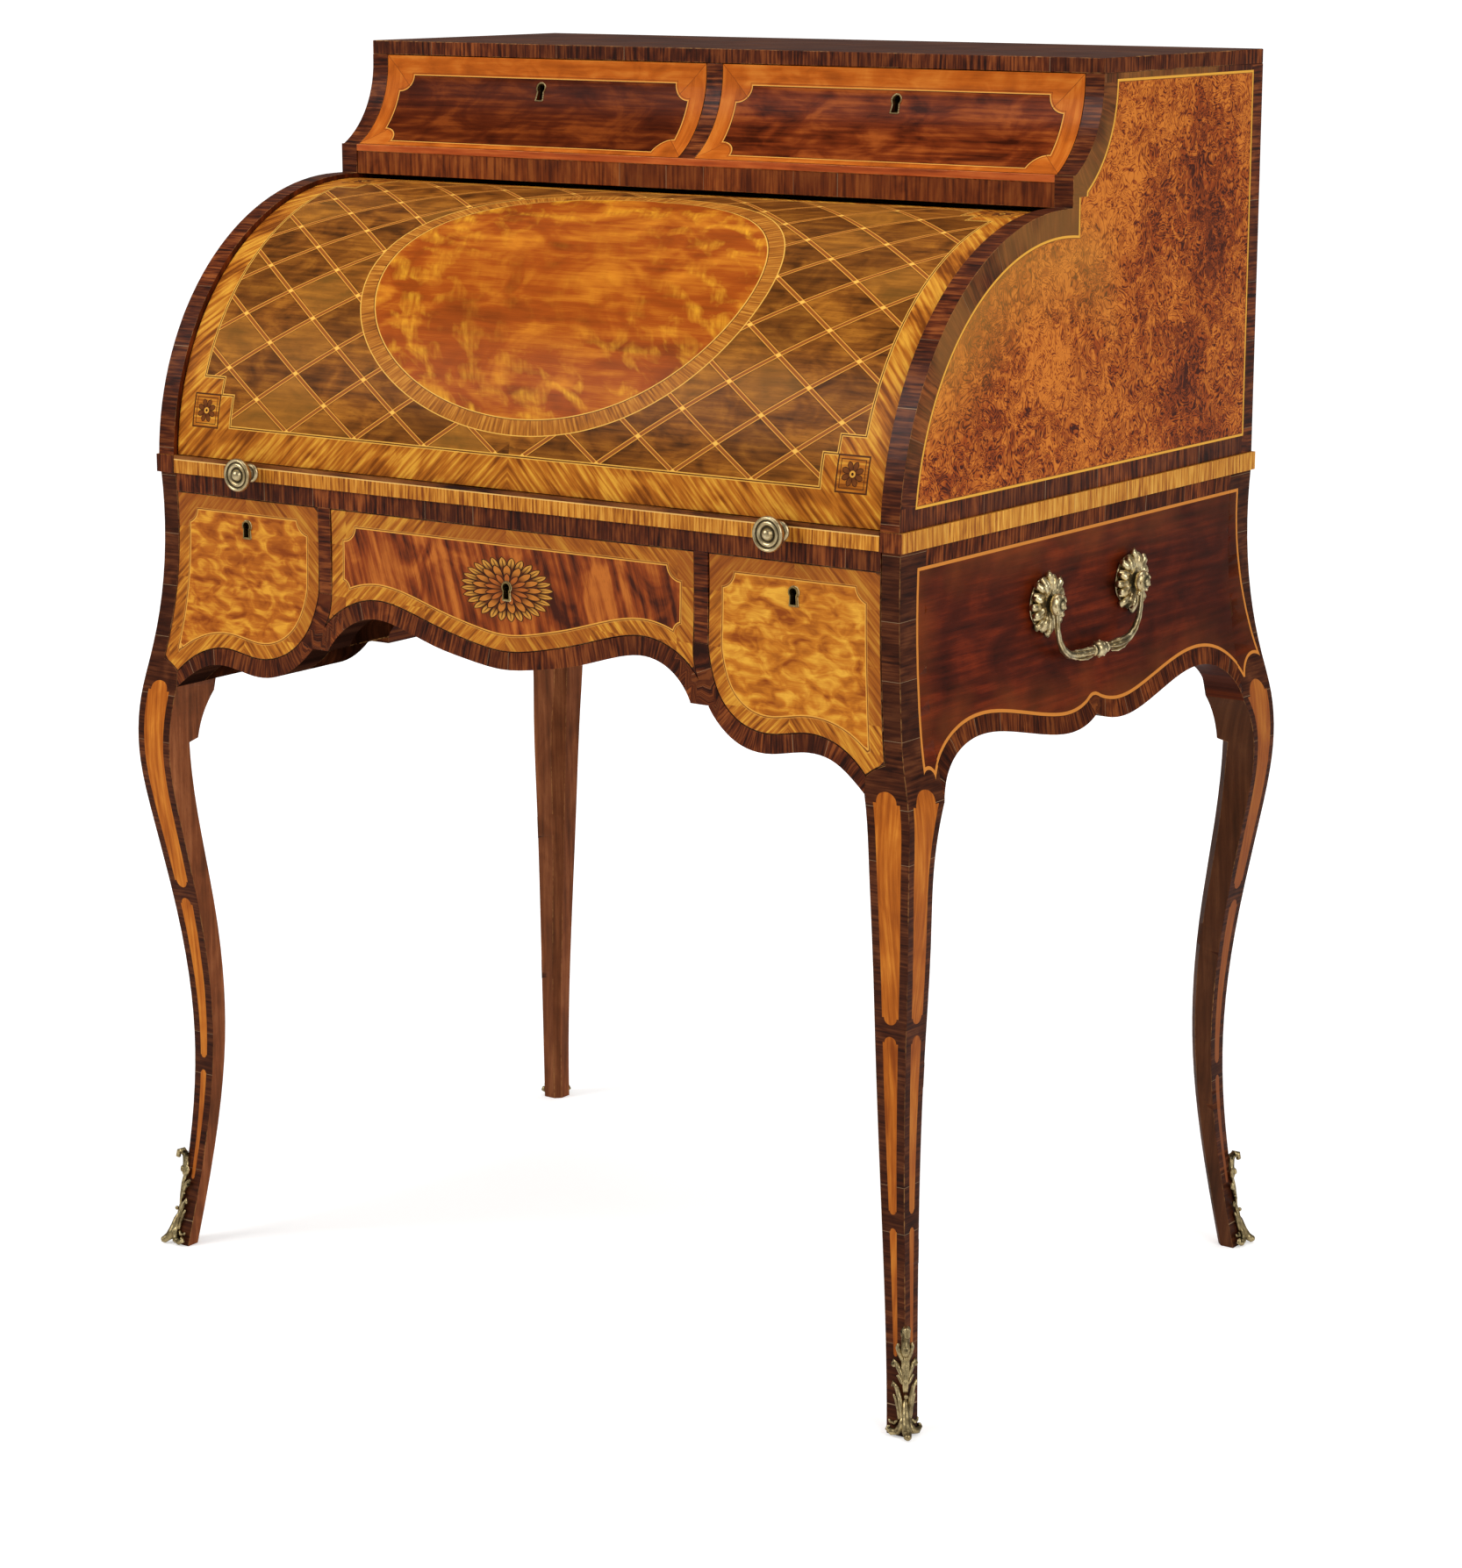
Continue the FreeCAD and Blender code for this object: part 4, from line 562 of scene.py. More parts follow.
head.translation = Vector(on_foot(0, 3.6, 68)) / 1000
turned(shoe, [(0, 1.5), (0.7, 1.5), (2.3, 1.2), (2.9, 0.6), (3.0, -2.0), (0, -2.0)], head, 16)
again(shoe, Matrix.Diagonal((-1.0, 1.0, 1.0, 1.0)))
again(shoe, Matrix.Translation((0.0, 2 * MIDDLE_Y / 1000, 0.0)) @ Matrix.Diagonal((1.0, -1.0, 1.0, 1.0)))
cast(shoe, "sabots", metal("foot_bronze", "cdb988", "766240", "0d0805", 0.24, recess=(-0.26, 0.02)))


# Lower sides. Each swelling panel is built up in oak and veneered with mahogany, with a yellow string and a kingwood
# band that follow the shaped lower edge; it is tenoned between the posts.
skirt = Finish("lower_side_veneer")
under, along = skirt.kept("skirt"), skirt.kept("skirt_run")
band_width = 17.3
field = side_field(skirt).least(under - band_width)
low_band = crossband(skirt, kingwood, along, under, 30.0, 5.0)
top_band = crossband(skirt, kingwood, skirt.y, skirt.z, 60.0, 1.0)
ground = skirt.lay(low_band, top_band, (skirt.z - 660.0).inside())
face = side_stringing(skirt, ground, field, skirt.wood(side_mahogany, skirt.y, skirt.z))
shown = (skirt.nx * skirt.x.made("SIGN")).rising(0.4, 0.5)
whole = skirt.lay(skirt.wood(mahogany, skirt.y, skirt.z), face, shown)
lower_side_veneer = skirt.polished(whole, coat=0.03, shine=0.05)
for side in ("right", "left"):
    eased(f"lower_side_{side}", lower_side_veneer, cuts=((1, 0.005), (2, 0.005)),
          lines={"skirt": lambda edge, point: abs(point.x) > 0.3585 and point.z < 0.6
                 and min(face.normal.z for face in edge.link_faces) < -0.3})


# Apron, rail and partitions. The front frame under and between the drawers is faced with kingwood laid across, in
# short leaves that follow the curves; the thick shaped rail behind the apron is stained dark.
apron = Finish("apron_veneer")
low = crossband(apron, kingwood, apron.kept("hem_run"), apron.kept("hem"), 26.0, 3.0)
# Painted shade: the underside and back faces of the apron get near-black wood.
dark = apron.wood(tinted(mahogany, "46281a", "2c1710", "180c08"), apron.x, apron.z)
shown = (-apron.ny).rising(0.3, 0.4)
apron_veneer = apron.polished(apron.lay(dark, low, shown), coat=shown * 0.06, shine=shown * 0.09)
eased("front_apron", apron_veneer, cuts=((0, 0.006),),
      lines={"hem": lambda edge, point: point.y < -0.2475 and min(f.normal.z for f in edge.link_faces) < -0.25})
backing = Finish("stained_rail")
wood = backing.wood(tinted(mahogany, "45200f", "2a1208", "160803"), backing.x, backing.y + backing.z)
eased("apron_backing", backing.polished(wood, 0.5, coat=0.0, shine=0.0))
rail = Finish("rail_veneer")
band = crossband(rail, kingwood, rail.x, rail.z, 58.0, 7.0)
eased("front_rail", rail.polished(band, 0.33), ease=0.3)
post = Finish("partition_veneer")
partition_veneer = post.polished(crossband(post, kingwood, post.z, post.x, 34.0, 4.0), 0.33)
for side in ("right", "left"):
    eased(f"drawer_divider_{side}", partition_veneer, ease=0.3)


# Waist band. A narrow tulipwood moulding in three lengths, laid across the grain, mitred at the back corners and
# glued between the lower and the upper case.
tulipwood = tinted({}, "eeb44f", "cf8a2e", "8f4d18", Stripe=0.85, Pitch=2.0, Figure=0.35, Reach=45.0, Pores=0.3)
waist = Finish("waist_veneer")
on_side = abs(waist.nx).rising(0.6, 0.75)
run = waist.y * on_side + waist.x * (1.0 - on_side)
band = crossband(waist, tulipwood, run, waist.z, 90.0, 6.0, 0.25)
corner_post = abs(waist.x).between(355.0, 380.0) * (1.0 - on_side) * (-waist.ny).rising(0.4, 0.6)
band = waist.lay(band, waist.wood(kingwood, waist.z, waist.x), corner_post)
eased("waist_frame", waist.polished(band, 0.3, worn="f2d08a"), ease=0.9)


# Lower drawers. Oak fronts bowed and sawn to the apron, veneered: mottled satinwood fields on the two side drawers,
# flamed mahogany with a petalled oval on the middle one, all in slanting tulipwood bands with box stringing.
mottle = tinted({}, "e4a638", "c0721d", "8c420d", Stripe=0.3, Pitch=5.0, Figure=0.85, Reach=19.0, Pores=0.25)
flame = tinted({}, "bb6826", "883b13", "3f180b", Stripe=0.75, Pitch=7.0, Figure=0.8, Reach=46.0, Pores=0.5)
slant = tinted(tulipwood, "d89a34", "ae641b", "733a0e", Pitch=2.6)


def drawer_outline(edge, point):
    """True on the front outline of a lower drawer, and not round its keyhole."""
    to_front = min(face.normal.y for face in edge.link_faces) < -0.6
    keyholes = (0.0, 0.625), (0.2766, 0.649), (-0.2766, 0.649)
    away = min(math.hypot(point.x - x, point.z - z) for x, z in keyholes)
    return to_front and away > 0.014 and point.y < -0.262


def banded_front(node, finish, field, edge, middle, key_z, gloss, crazing):
    """A drawer front with its keyhole: a field, two hairlines, and a band whose leaves slant up to the middle."""
    lean = abs(finish.x - middle)
    leaf = ((finish.x - middle) / 84.0).made("FLOOR") + (finish.z / 43.0).made("FLOOR") * 5.0
    band = finish.wood(slant, (lean - finish.z) * 0.7071, (lean + finish.z) * 0.7071, leaf)
    band = finish.string(band, "8a4416", lot(leaf).rising(0.35, 1.0) * 0.6)
    layer = finish.lay(band, field, edge.inside())
    layer = finish.strings(layer, edge, ("dc9c40", -0.2, 0.8), ("5a2a12", -0.8, -0.2, 0.8), ("cf9240", -1.5, -0.9, 0.6))
    layer = finish.string(layer, "3a1a0e", (0.55 - finish.kept("outline")).inside())
    layer = finish.lay(finish.wood(mahogany, finish.x, finish.z + finish.y), layer, (-finish.ny).rising(0.2, 0.3))
    eased(node, finish.polished(layer, gloss, crazing=crazing), cuts=((0, 0.004), (2, 0.004)),
          lines={"outline": drawer_outline})
    keyhole_liner(node, middle, key_z)


def petals(under, reach, turn, count, low, high, codes, line, rib=0.0):
    """A ring of blunt petals between two distances from the middle of a flower, shaded, outlined, perhaps ribbed."""
    share = ((reach - low) / (high - low)).most(0.0)
    across = abs((turn * (count / math.tau) + count * 0.25).made("FRACT") - 0.5)
    petal = 0.5 - share.made("POWER", 4.0) * 0.5 - across
    shaded = mixed(codes[0], codes[1], share.rising(0.1, 0.55))
    shaded = mixed(shaded, line, (0.07 - across).inside(0.06) * (0.75 - share).inside(0.3) * rib)
    colour = mixed(under[0], shaded, petal.inside(0.03))
    return mixed(colour, line, petal.between(-0.01, 0.11, 0.04)), under[1]


def keyhole_liner(node, x, z):
    """The bright rim of a keyhole's brass liner, a bead drawn along the edge of the hole in a drawer front."""
    bm, bead_mesh = bmesh.new(), bmesh.new()
    bm.from_mesh(frame["nodes"][node].data)
    bmesh.ops.remove_doubles(bm, verts=bm.verts, dist=0.00001)
    rim = [e for e in bm.edges if e.is_manifold and e.calc_face_angle() > 0.5
           and min(face.normal.y for face in e.link_faces) < -0.5
           and all(math.hypot(v.co.x * 1000 - x, v.co.z * 1000 - z) < 14.0 for v in e.verts)]
    swept(bead_mesh, [(point * 1000, 0.75) for point, along in walked(rim)], 6)
    bm.free()
    settled(bead_mesh, node + "_keyhole_liner", node, liner_brass, replaced=False)


liner_brass = metal("liner_brass", "d8c694", "9c8452", "2a1e10", 0.3)
for side, sign in (("right", 1), ("left", -1)):
    front = Finish(f"side_drawer_{side}_veneer")
    middle = 277.0 * sign
    lean = abs(front.x - middle)
    edge = (front.kept("outline") - 13.0).bitten(lean, front.z, (69.0, 662.0, 14.0))
    species = mottle if side == "right" else tinted(mottle, "dd9a30", "b26219", "853c0b")
    field = front.wood(species, front.x + front.z * 0.3, front.z, 3.0 * sign)
    banded_front(f"side_drawer_{side}_front", front, field, edge, middle, 649.0, 0.28, 0.8)

front = Finish("middle_drawer_veneer")
lean = abs(front.x)
edge = (front.kept("outline") - 13.0).bitten(lean, front.z, (171.0, 661.5, 13.0), (173.0, 608.0, 9.0))
field = front.wood(flame, front.z - front.x * 0.3, front.x + front.z * 0.3)
wide, tall = front.x / 47.5, (front.z - 625.5) / 26.0
rays, turn = wide.root_with(tall), tall.made("ARCTAN2", wide)
for count, low, high, tip, rib in ((28, 0.62, 1.0, "c98c38", 0.8), (17, 0.36, 0.76, "b9702a", 0.0),
                                   (13, 0.1, 0.5, "a85a22", 0.0)):
    field = petals(field, rays, turn, count, low, high, ("5c2a0c", tip), "240d05", rib)
banded_front("middle_drawer_front", front, field, edge, 0.0, 625.0, 0.3, 0.6)


# Writing slide. A mahogany board lined with tooled leather, with a tulipwood lipping across its front and two knobs
# turned in brass; an iron bracket under each end takes the pin of the linkage. It runs on oak between short guides.
def dress(material, *nodes):
    """Lays a finish on CAD pieces that are used as they are."""
    for node in nodes:
        frame["nodes"][node].material_slots[0].material = material


board = Finish("slide_mahogany")
dress(board.polished(board.wood(mahogany, board.x, board.y), 0.36), "slide_board")
hide = Finish("tooled_leather")
edge = (300.0 - abs(hide.x)).least(hide.y + 231.2, -26.2 - hide.y)
grain = drawn(hide.tree, "TexVoronoi", {"Vector": hide.place, "Scale": 900.0})
rubbed = noise(hide.x / 70.0, hide.y / 70.0)
colour = mixed("2c3a22", "4a5230", rubbed.rising(0.35, 0.7) * 0.7 + grain * 0.2)
dots = abs((hide.x + hide.y).made("PINGPONG", 4.0) - 2.0) - 1.0
tooling = edge.between(10.0, 11.2).most(edge.between(17.0, 18.2), edge.between(12.5, 15.7) * dots.inside(0.4))
colour = mixed(colour, "b08a3c", tooling * noise(hide.x / 5.0, hide.y / 5.0).rising(0.3, 0.5))
leather = hide.ended({"Base Color": colour, "Roughness": grain * 0.2 + 0.45, "Specular IOR Level": 0.3},
                     grain * 0.5 - tooling, 0.0002)
dress(leather, "slide_leather")
iron = metal("forged_iron", "5a5650", "3a3733", "1a1816", 0.45)
dress(iron, "slide_brackets")
lip = Finish("slide_front_veneer")
stripes = tinted(tulipwood, "e2a040", "c27a24", "7c3e12", Stripe=1.0)
nosing = lip.wood(tinted(mahogany, "8a5526", "6e3c18"), lip.x, lip.z)
above = lip.z - 701.6
lipping = lip.lay(crossband(lip, stripes, lip.x, lip.z, 120.0, 9.0, 0.25), nosing, above.inside())
lipping = lip.strings(lipping, above, ("f0c070", -0.9, 0.0, 0.8))
eased("slide_front", lip.polished(lipping, 0.3, worn="f2d08a"), ease=0.6)
knobs = bmesh.new()
for place in (-267.0, 267.0):
    lathe = Matrix.Rotation(math.pi / 2, 4, "X")
    lathe.translation = (place / 1000, -0.2712, 0.697)
    turned(knobs, [(0, -9.0), (3.4, -9.0), (3.4, 0.0), (8.0, 0.0), (8.2, 1.4), (7.2, 2.6), (5.6, 3.4), (4.8, 5.4),
                   (4.8, 8.0), (6.0, 10.2), (10.0, 12.2), (13.0, 14.0), (14.0, 16.4), (13.8, 18.6), (12.8, 19.8),
                   (11.6, 19.6), (10.6, 18.2), (10.0, 18.1), (9.2, 19.0), (8.0, 19.2), (6.9, 18.4), (6.3, 17.6),
                   (5.4, 17.5), (4.8, 18.4), (4.0, 20.2), (2.4, 21.6), (0, 22.0)], lathe)
cast(knobs, "slide_knobs", metal("knob_brass", "d2c096", "9c8458", "2a1e10", 0.26, recess=(-0.02, 0.12)))
oak = Finish("oak_boards")
oak_wood = tinted({}, "b98d58", "96693a", "664222", Stripe=0.7, Pitch=5.0, Figure=0.5, Reach=90.0, Pores=1.0)
flat = abs(oak.nx).rising(0.6, 0.75)
boards = oak.wood(oak_wood, oak.y * flat + oak.x * (1.0 - flat), oak.z + oak.y * (1.0 - flat) * 0.6)
oak_boards = oak.polished(boards, 0.55, crazing=0.0, coat=0.0)
dress(oak_boards, "slide_bed", "slide_guides", "drawer_runners")


# Cylinder. Staves glued up to a quarter round and veneered: slanting tulipwood borders, a trellis of light strings on
# brown walnut with a flower square at each corner, and a large satinwood oval in a crossbanded ring.
CENTRE_Y, CENTRE_Z, RADIUS = -39.8, 696.0, 227.0
shell = Finish("cylinder_marquetry")
u, v = shell.x, (shell.z - CENTRE_Z).made("ARCTAN2", CENTRE_Y - shell.y) * RADIUS
au, av = abs(u), abs(v - 194.8)
edge = (331.0 - au).least(158.3 - av, -(au - 296.0).least(av - 132.0), -(au - 309.0).least(av - 117.3))
border = shell.wood(tinted(slant, Pitch=3.6, Figure=0.7), (au - v) * 0.7071, (au + v) * 0.7071)
over, up = (au - 13.5) / 36.75, (v - 36.5) / 24.6
p, q = (over + up) / 2.0, (over - up) / 2.0
cell = p.made("FLOOR") * 7.3 + q.made("FLOOR") * 3.1 + u.made("SIGN") * 17.0
chance = lot(cell)
walnut = tinted({}, "ab6a20", "804814", "4a2709", Stripe=0.45, Pitch=4.0, Figure=0.7, Reach=34.0, Pores=0.8)
lattice = shell.string(shell.wood(walnut, u, v, cell), "502c0b", chance.rising(0.3, 1.0) * 0.5)
lattice = shell.string(lattice, "a8722a", (1.0 - chance.rising(0.0, 0.3)) * 0.4)
to_p, to_q = ((0.5 - abs(turn.made("FRACT") - 0.5)) * 40.8 for turn in (p, q))
halves = (au - 13.0).inside()
for code, low, high, strength in (("2e1a0c", -1.0, 2.5, 0.6), ("965420", -1.0, 1.2, 0.9), ("d89338", 1.15, 1.95, 1.0)):
    straps = to_p.between(low, high).most(to_q.between(low, high))
    lattice = shell.string(lattice, code, straps * halves * strength)
lattice = shell.string(lattice, "eab450", (1.7 - to_p.most(to_q)).inside())
layer = shell.lay(border, lattice, edge.inside())
layer = shell.strings(layer, edge, ("e0a848", -0.2, 0.6), ("4a2812", -1.1, -0.3), ("e0a848", -1.9, -1.2))
cu, cv = au - 324.5, av - 146.7
square = 14.5 - abs(cu).most(abs(cv))
layer = shell.lay(layer, shell.wood(slant, u, v), square.inside())
layer = shell.strings(layer, square, ("4a2812", 0.0, 1.3), ("4a2812", 3.2, 3.9))
out = cu.root_with(cv)
layer = petals(layer, out / 10.2, cv.made("ARCTAN2", cu), 8, 0.25, 1.0, ("5a2e12", "6e3c18"), "3a1c0c")
layer = shell.string(layer, "d99c3c", (2.6 - out).inside())
layer = shell.string(layer, "3a1c0c", (1.2 - out).inside())
rise = v - 192.0
oval = (1.0 - (u / 198.5).root_with(rise / 140.0)) * 165.0
inner = (1.0 - (u / 184.5).root_with(rise / 127.0)) * 152.0
swing = (rise / 134.0).made("ARCTAN2", u / 191.0)
ring = shell.wood(tinted(tulipwood, "cb8a34", "a8641f", "733f16"), oval, swing * 165.0)
layer = shell.lay(layer, ring, oval.inside())
golden = tinted({}, "cc7a1e", "9f480e", "7c3608", Stripe=0.28, Pitch=6.0, Figure=0.7, Reach=70.0, Pores=0.3)
flare = noise((u + v * 0.6) / 24.0, v / 20.0, 7.0, 3.0, 0.6).rising(0.48, 0.78)
flare = flare * (1.0 - inner.rising(15.0, 90.0) * 0.85) * noise((u + v * 0.4) / 4.0, v / 22.0, 3.0).rising(0.2, 0.6)
leaf = shell.string(shell.wood(golden, u, v, 4.0), "f2b02c", flare * 0.9)
layer = shell.lay(layer, leaf, inner.inside())
layer = shell.string(layer, "e6b04e", inner.between(-0.2, 0.7).most(oval.between(-0.3, 0.5)))
layer = shell.strings(layer, inner, ("5a3014", -0.8, -0.2))
staves = shell.wood(tinted(mahogany, "8a4f28", "683418"), u, v, (v / 31.0).made("FLOOR"))
outside = (shell.y - CENTRE_Y).root_with(shell.z - CENTRE_Z) - (RADIUS - 0.7)
layer = shell.lay(staves, layer, outside.inside())
cylinder_marquetry = shell.polished(layer, 0.3, crazing=1.0, coat=0.03, shine=0.04)
eased("cylinder_shell", cylinder_marquetry, cuts=((0, 0.04),), ease=0.4)


# Upper sides. Oak boards veneered with burr, a light string inside a kingwood band that follows the quarter round, the
# ledge and the hollow; the front edges are kingwood laid across.
flank = Finish("upper_side_veneer")
along = flank.kept("brow_run")
round_edge = 208.5 - (flank.y - CENTRE_Y).root_with(flank.z - CENTRE_Z)
above = flank.z.made("GREATER_THAN", 935.0)
brow = (flank.kept("brow") - 22.5) * above + round_edge.most(flank.y + 17.3) * (1.0 - above)
sill, rear, crown = flank.z - 722.0, 258.0 - flank.y, 1021.0 - flank.z
edge = brow.least(sill, rear, crown)
curl = drawn(flank.tree, "TexNoise", {"Vector": flank.place, "Scale": 44.0, "Detail": 3.0}, 1)
wrung = drawn(flank.tree, "VectorMath", {0: curl, 3: 0.034}, operation="SCALE")
wrung = drawn(flank.tree, "VectorMath", {0: flank.place, 1: wrung}, operation="ADD")
knots = drawn(flank.tree, "TexNoise", {"Vector": wrung, "Scale": 75.0, "Detail": 3.0, "Roughness": 0.55,
                                       "Distortion": 1.4})
curls = abs((noise(flank.y / 26.0, flank.z / 26.0, 3.0, 2.0, 2.4) * 30.0).made("SINE")).rising(0.0, 0.75)
drift = noise(flank.y / 120.0, flank.z / 120.0)
burl = knots * 0.5 + curls * 0.2 + 0.12 + (drift - 0.5) * 0.45
colour = mixed("401405", "9a420d", burl.rising(0.39, 0.515))
colour = mixed(colour, "d27a27", burl.rising(0.515, 0.64))
gold = (1.0 - brow.rising(0.0, 70.0)) * (930.0 - flank.z).rising(0.0, 40.0) * (flank.z - 760.0).rising(0.0, 60.0)
burr = flank.string((colour, burl), "d8953a", gold * 0.4)
bands = crossband(flank, kingwood, along, flank.kept("brow"), 60.0, 2.5)
level = crossband(flank, kingwood, flank.y, flank.z, 80.0, 3.5)
upright = crossband(flank, kingwood, flank.z, flank.y, 60.0, 4.5)
bands = flank.lay(bands, level, sill.least(crown).made("LESS_THAN", 0.0))
bands = flank.lay(bands, upright, rear.made("LESS_THAN", 0.0))
faded = noise(flank.y / 60.0, flank.z / 60.0, 5.0).rising(0.3, 0.55) * (flank.z - 740.0).rising(0.0, 80.0)
bands = flank.string(bands, "90602a", faded * (200.0 - flank.y).inside() * 0.6)
layer = flank.lay(bands, burr, edge.inside())
layer = flank.strings(layer, edge, ("e6a83c", -2.2, 0.0), ("7a4216", -0.3, 0.2))
front = crossband(flank, kingwood, along, flank.x, 70.0, 1.5)
outward = flank.nx * flank.x.made("SIGN")
front = flank.lay(front, flank.wood(mahogany, flank.z, flank.y), (-outward).rising(0.6, 0.7))
upper_side_veneer = flank.polished(flank.lay(front, layer, outward.rising(0.4, 0.5)), 0.3, crazing=0.3)
for side in ("right", "left"):
    eased(f"upper_side_{side}", upper_side_veneer, cuts=((1, 0.006), (2, 0.006)), ease=0.7,
          lines={"brow": lambda edge, point: abs(point.x) > 0.37 and point.y < 0.2 and 0.706 < point.z < 1.0275
                 and min(face.normal.y for face in edge.link_faces) < 0.9})


# Backs. Oak planks, planed on the inside only, nailed across the back of both cases and never polished: the joints
# have opened and the faces have darkened unevenly.
back = Finish("back_planks")
plank_width = 108.0
plank = (back.z - 488.0) / plank_width
number = plank.made("FLOOR")
gap = (0.5 - abs(plank - number - 0.5)) * plank_width
nail = ((back.x + 60.0).made("PINGPONG", 120.0) - 8.0).root_with(gap - 16.0)
colour, height = back.wood(tinted(oak_wood, Pitch=4.0, Figure=0.4, Reach=160.0), back.x, back.z, number)
planks = back.string((colour, height - (1.6 - gap).inside(1.2) * 3.0), "5c3d22", lot(number) * 0.5)
planks = back.string(planks, "180e07", (1.0 - gap).inside(0.4))
planks = back.string(planks, "1c130c", (2.4 - nail).inside(0.6) * 0.85)
dress(back.polished(planks, 0.6, crazing=0.0, coat=0.0), "lower_back", "upper_back")


# Top, ledge and divider. Kingwood boards: long grain on the top, short cross grain on every edge. The underside of the
# ledge is drawn lower, to close most of the gap over the cylinder.
cap = Finish("top_veneer")
on_side = abs(cap.nx).rising(0.6, 0.75)
edge = crossband(cap, kingwood, cap.y * on_side + cap.x * (1.0 - on_side), cap.z, 70.0, 8.0)
long = tinted(kingwood, "6e3f22", "4a2411", "2a1108", Stripe=0.7, Pitch=3.6, Figure=0.3, Reach=150.0)
top = cap.lay(edge, cap.wood(long, cap.x, cap.y), cap.nz.rising(0.5, 0.7))
eased("top_board", cap.polished(top, 0.42), cuts=((0, 0.03), (1, 0.03)), ease=0.7)
shelf = Finish("ledge_veneer")
band = crossband(shelf, tinted(kingwood, "9c5420", "7c3912", "4c1e08", Pitch=3.0), shelf.x, shelf.z, 46.0, 3.0)
lipping = shelf.wood(tinted(satinwood, "cc6a2c", "b04f1e", "7c3312"), shelf.x, shelf.z)
ledge = shelf.lay(band, lipping, (shelf.z - 946.2).inside())
eased("ledge_board", shelf.polished(ledge, 0.32), ease=0.6, sag=4.6)
stile = Finish("upper_divider_veneer")
upright = crossband(stile, kingwood, stile.z, stile.x, 40.0, 3.0)
eased("upper_divider", stile.polished(upright), ease=0.4)


# Upper drawers. Hollow oak fronts veneered with figured mahogany in an orange satinwood frame, mitred, with box
# stringing and hollowed corners.
plum = tinted({}, "8a3f11", "602307", "381002", Stripe=0.6, Pitch=5.0, Figure=0.7, Reach=40.0, Pores=0.5)
orange = tinted({}, "d27c2c", "ba5e19", "914410", Stripe=0.4, Pitch=5.0, Figure=0.5, Reach=30.0, Pores=0.2)
for side, sign, light, middle in (("right", 1, "9c4c19", "6f2b0b"), ("left", -1, "7e390f", "561f06")):
    front = Finish(f"upper_drawer_{side}_veneer")
    key_x = 181.6 * sign
    lean = abs(front.x - key_x)
    hollow = (1022.0 - front.z).made("ARCTAN2", front.y + 64.4) * 80.0
    sides, ends = 173.1 - lean, (hollow + 5.5).least(83.0 - hollow)
    low, high = 11.5, 78.0
    edge = (sides - 16.5).least(hollow - low, high - hollow)
    edge = edge.bitten(lean, hollow, (156.6, low, 14.5), (156.6, high, 15.5))
    mitre = ends - sides
    layer = front.lay(front.wood(orange, front.x, front.z), front.wood(orange, front.z, front.x, 2.0), mitre.inside())
    layer = front.lay(layer, front.wood(tinted(plum, light, middle), front.x, hollow, sign), edge.inside())
    layer = front.strings(layer, edge, ("e0a24a", -0.9, 0.0), ("3c1a0e", 0.0, 0.5), ("6b3214", -2.2, -1.8))
    layer = front.string(layer, "7a3a14", abs(mitre).between(-0.2, 0.3) * (-edge).inside())
    layer = front.lay(front.wood(mahogany, front.x, front.z + front.y), layer, (-front.ny).rising(0.1, 0.2))
    node = f"upper_drawer_{side}_front"
    eased(node, front.polished(layer, 0.32, coat=0.03, shine=0.03), cuts=((0, 0.03),), ease=0.4)
    keyhole_liner(node, key_x, 1003.0)


# Linkage and nest. Two forged trammels carry the cylinder on iron pins; behind the slide a mahogany platform holds a
# nest of pigeonholes with two small satinwood drawers. The locks are brass with iron bolts, the drawer boxes oak.
dress(iron, "trammel_right", "trammel_left")
nest = Finish("nest_mahogany")
wood = nest.wood(tinted(mahogany, "9a5a30", "743a1c"), nest.x, nest.y + nest.z)
dress(nest.polished(wood, 0.42), "nest_floor", "pigeonhole_nest")
little = Finish("nest_satinwood")
wood = little.wood(satinwood, little.x, little.z + little.y)
dress(little.polished(wood, 0.36), "nest_drawer_right", "nest_drawer_left")
lock = metal("lock_brass", "a8905c", "6e5a34", "20160a", 0.3)
for drawer in ("side_drawer_right", "side_drawer_left", "middle_drawer", "upper_drawer_right", "upper_drawer_left"):
    dress(lock, f"{drawer}_lock")
    dress(iron, f"{drawer}_bolt")
    dress(oak_boards, f"{drawer}_box")


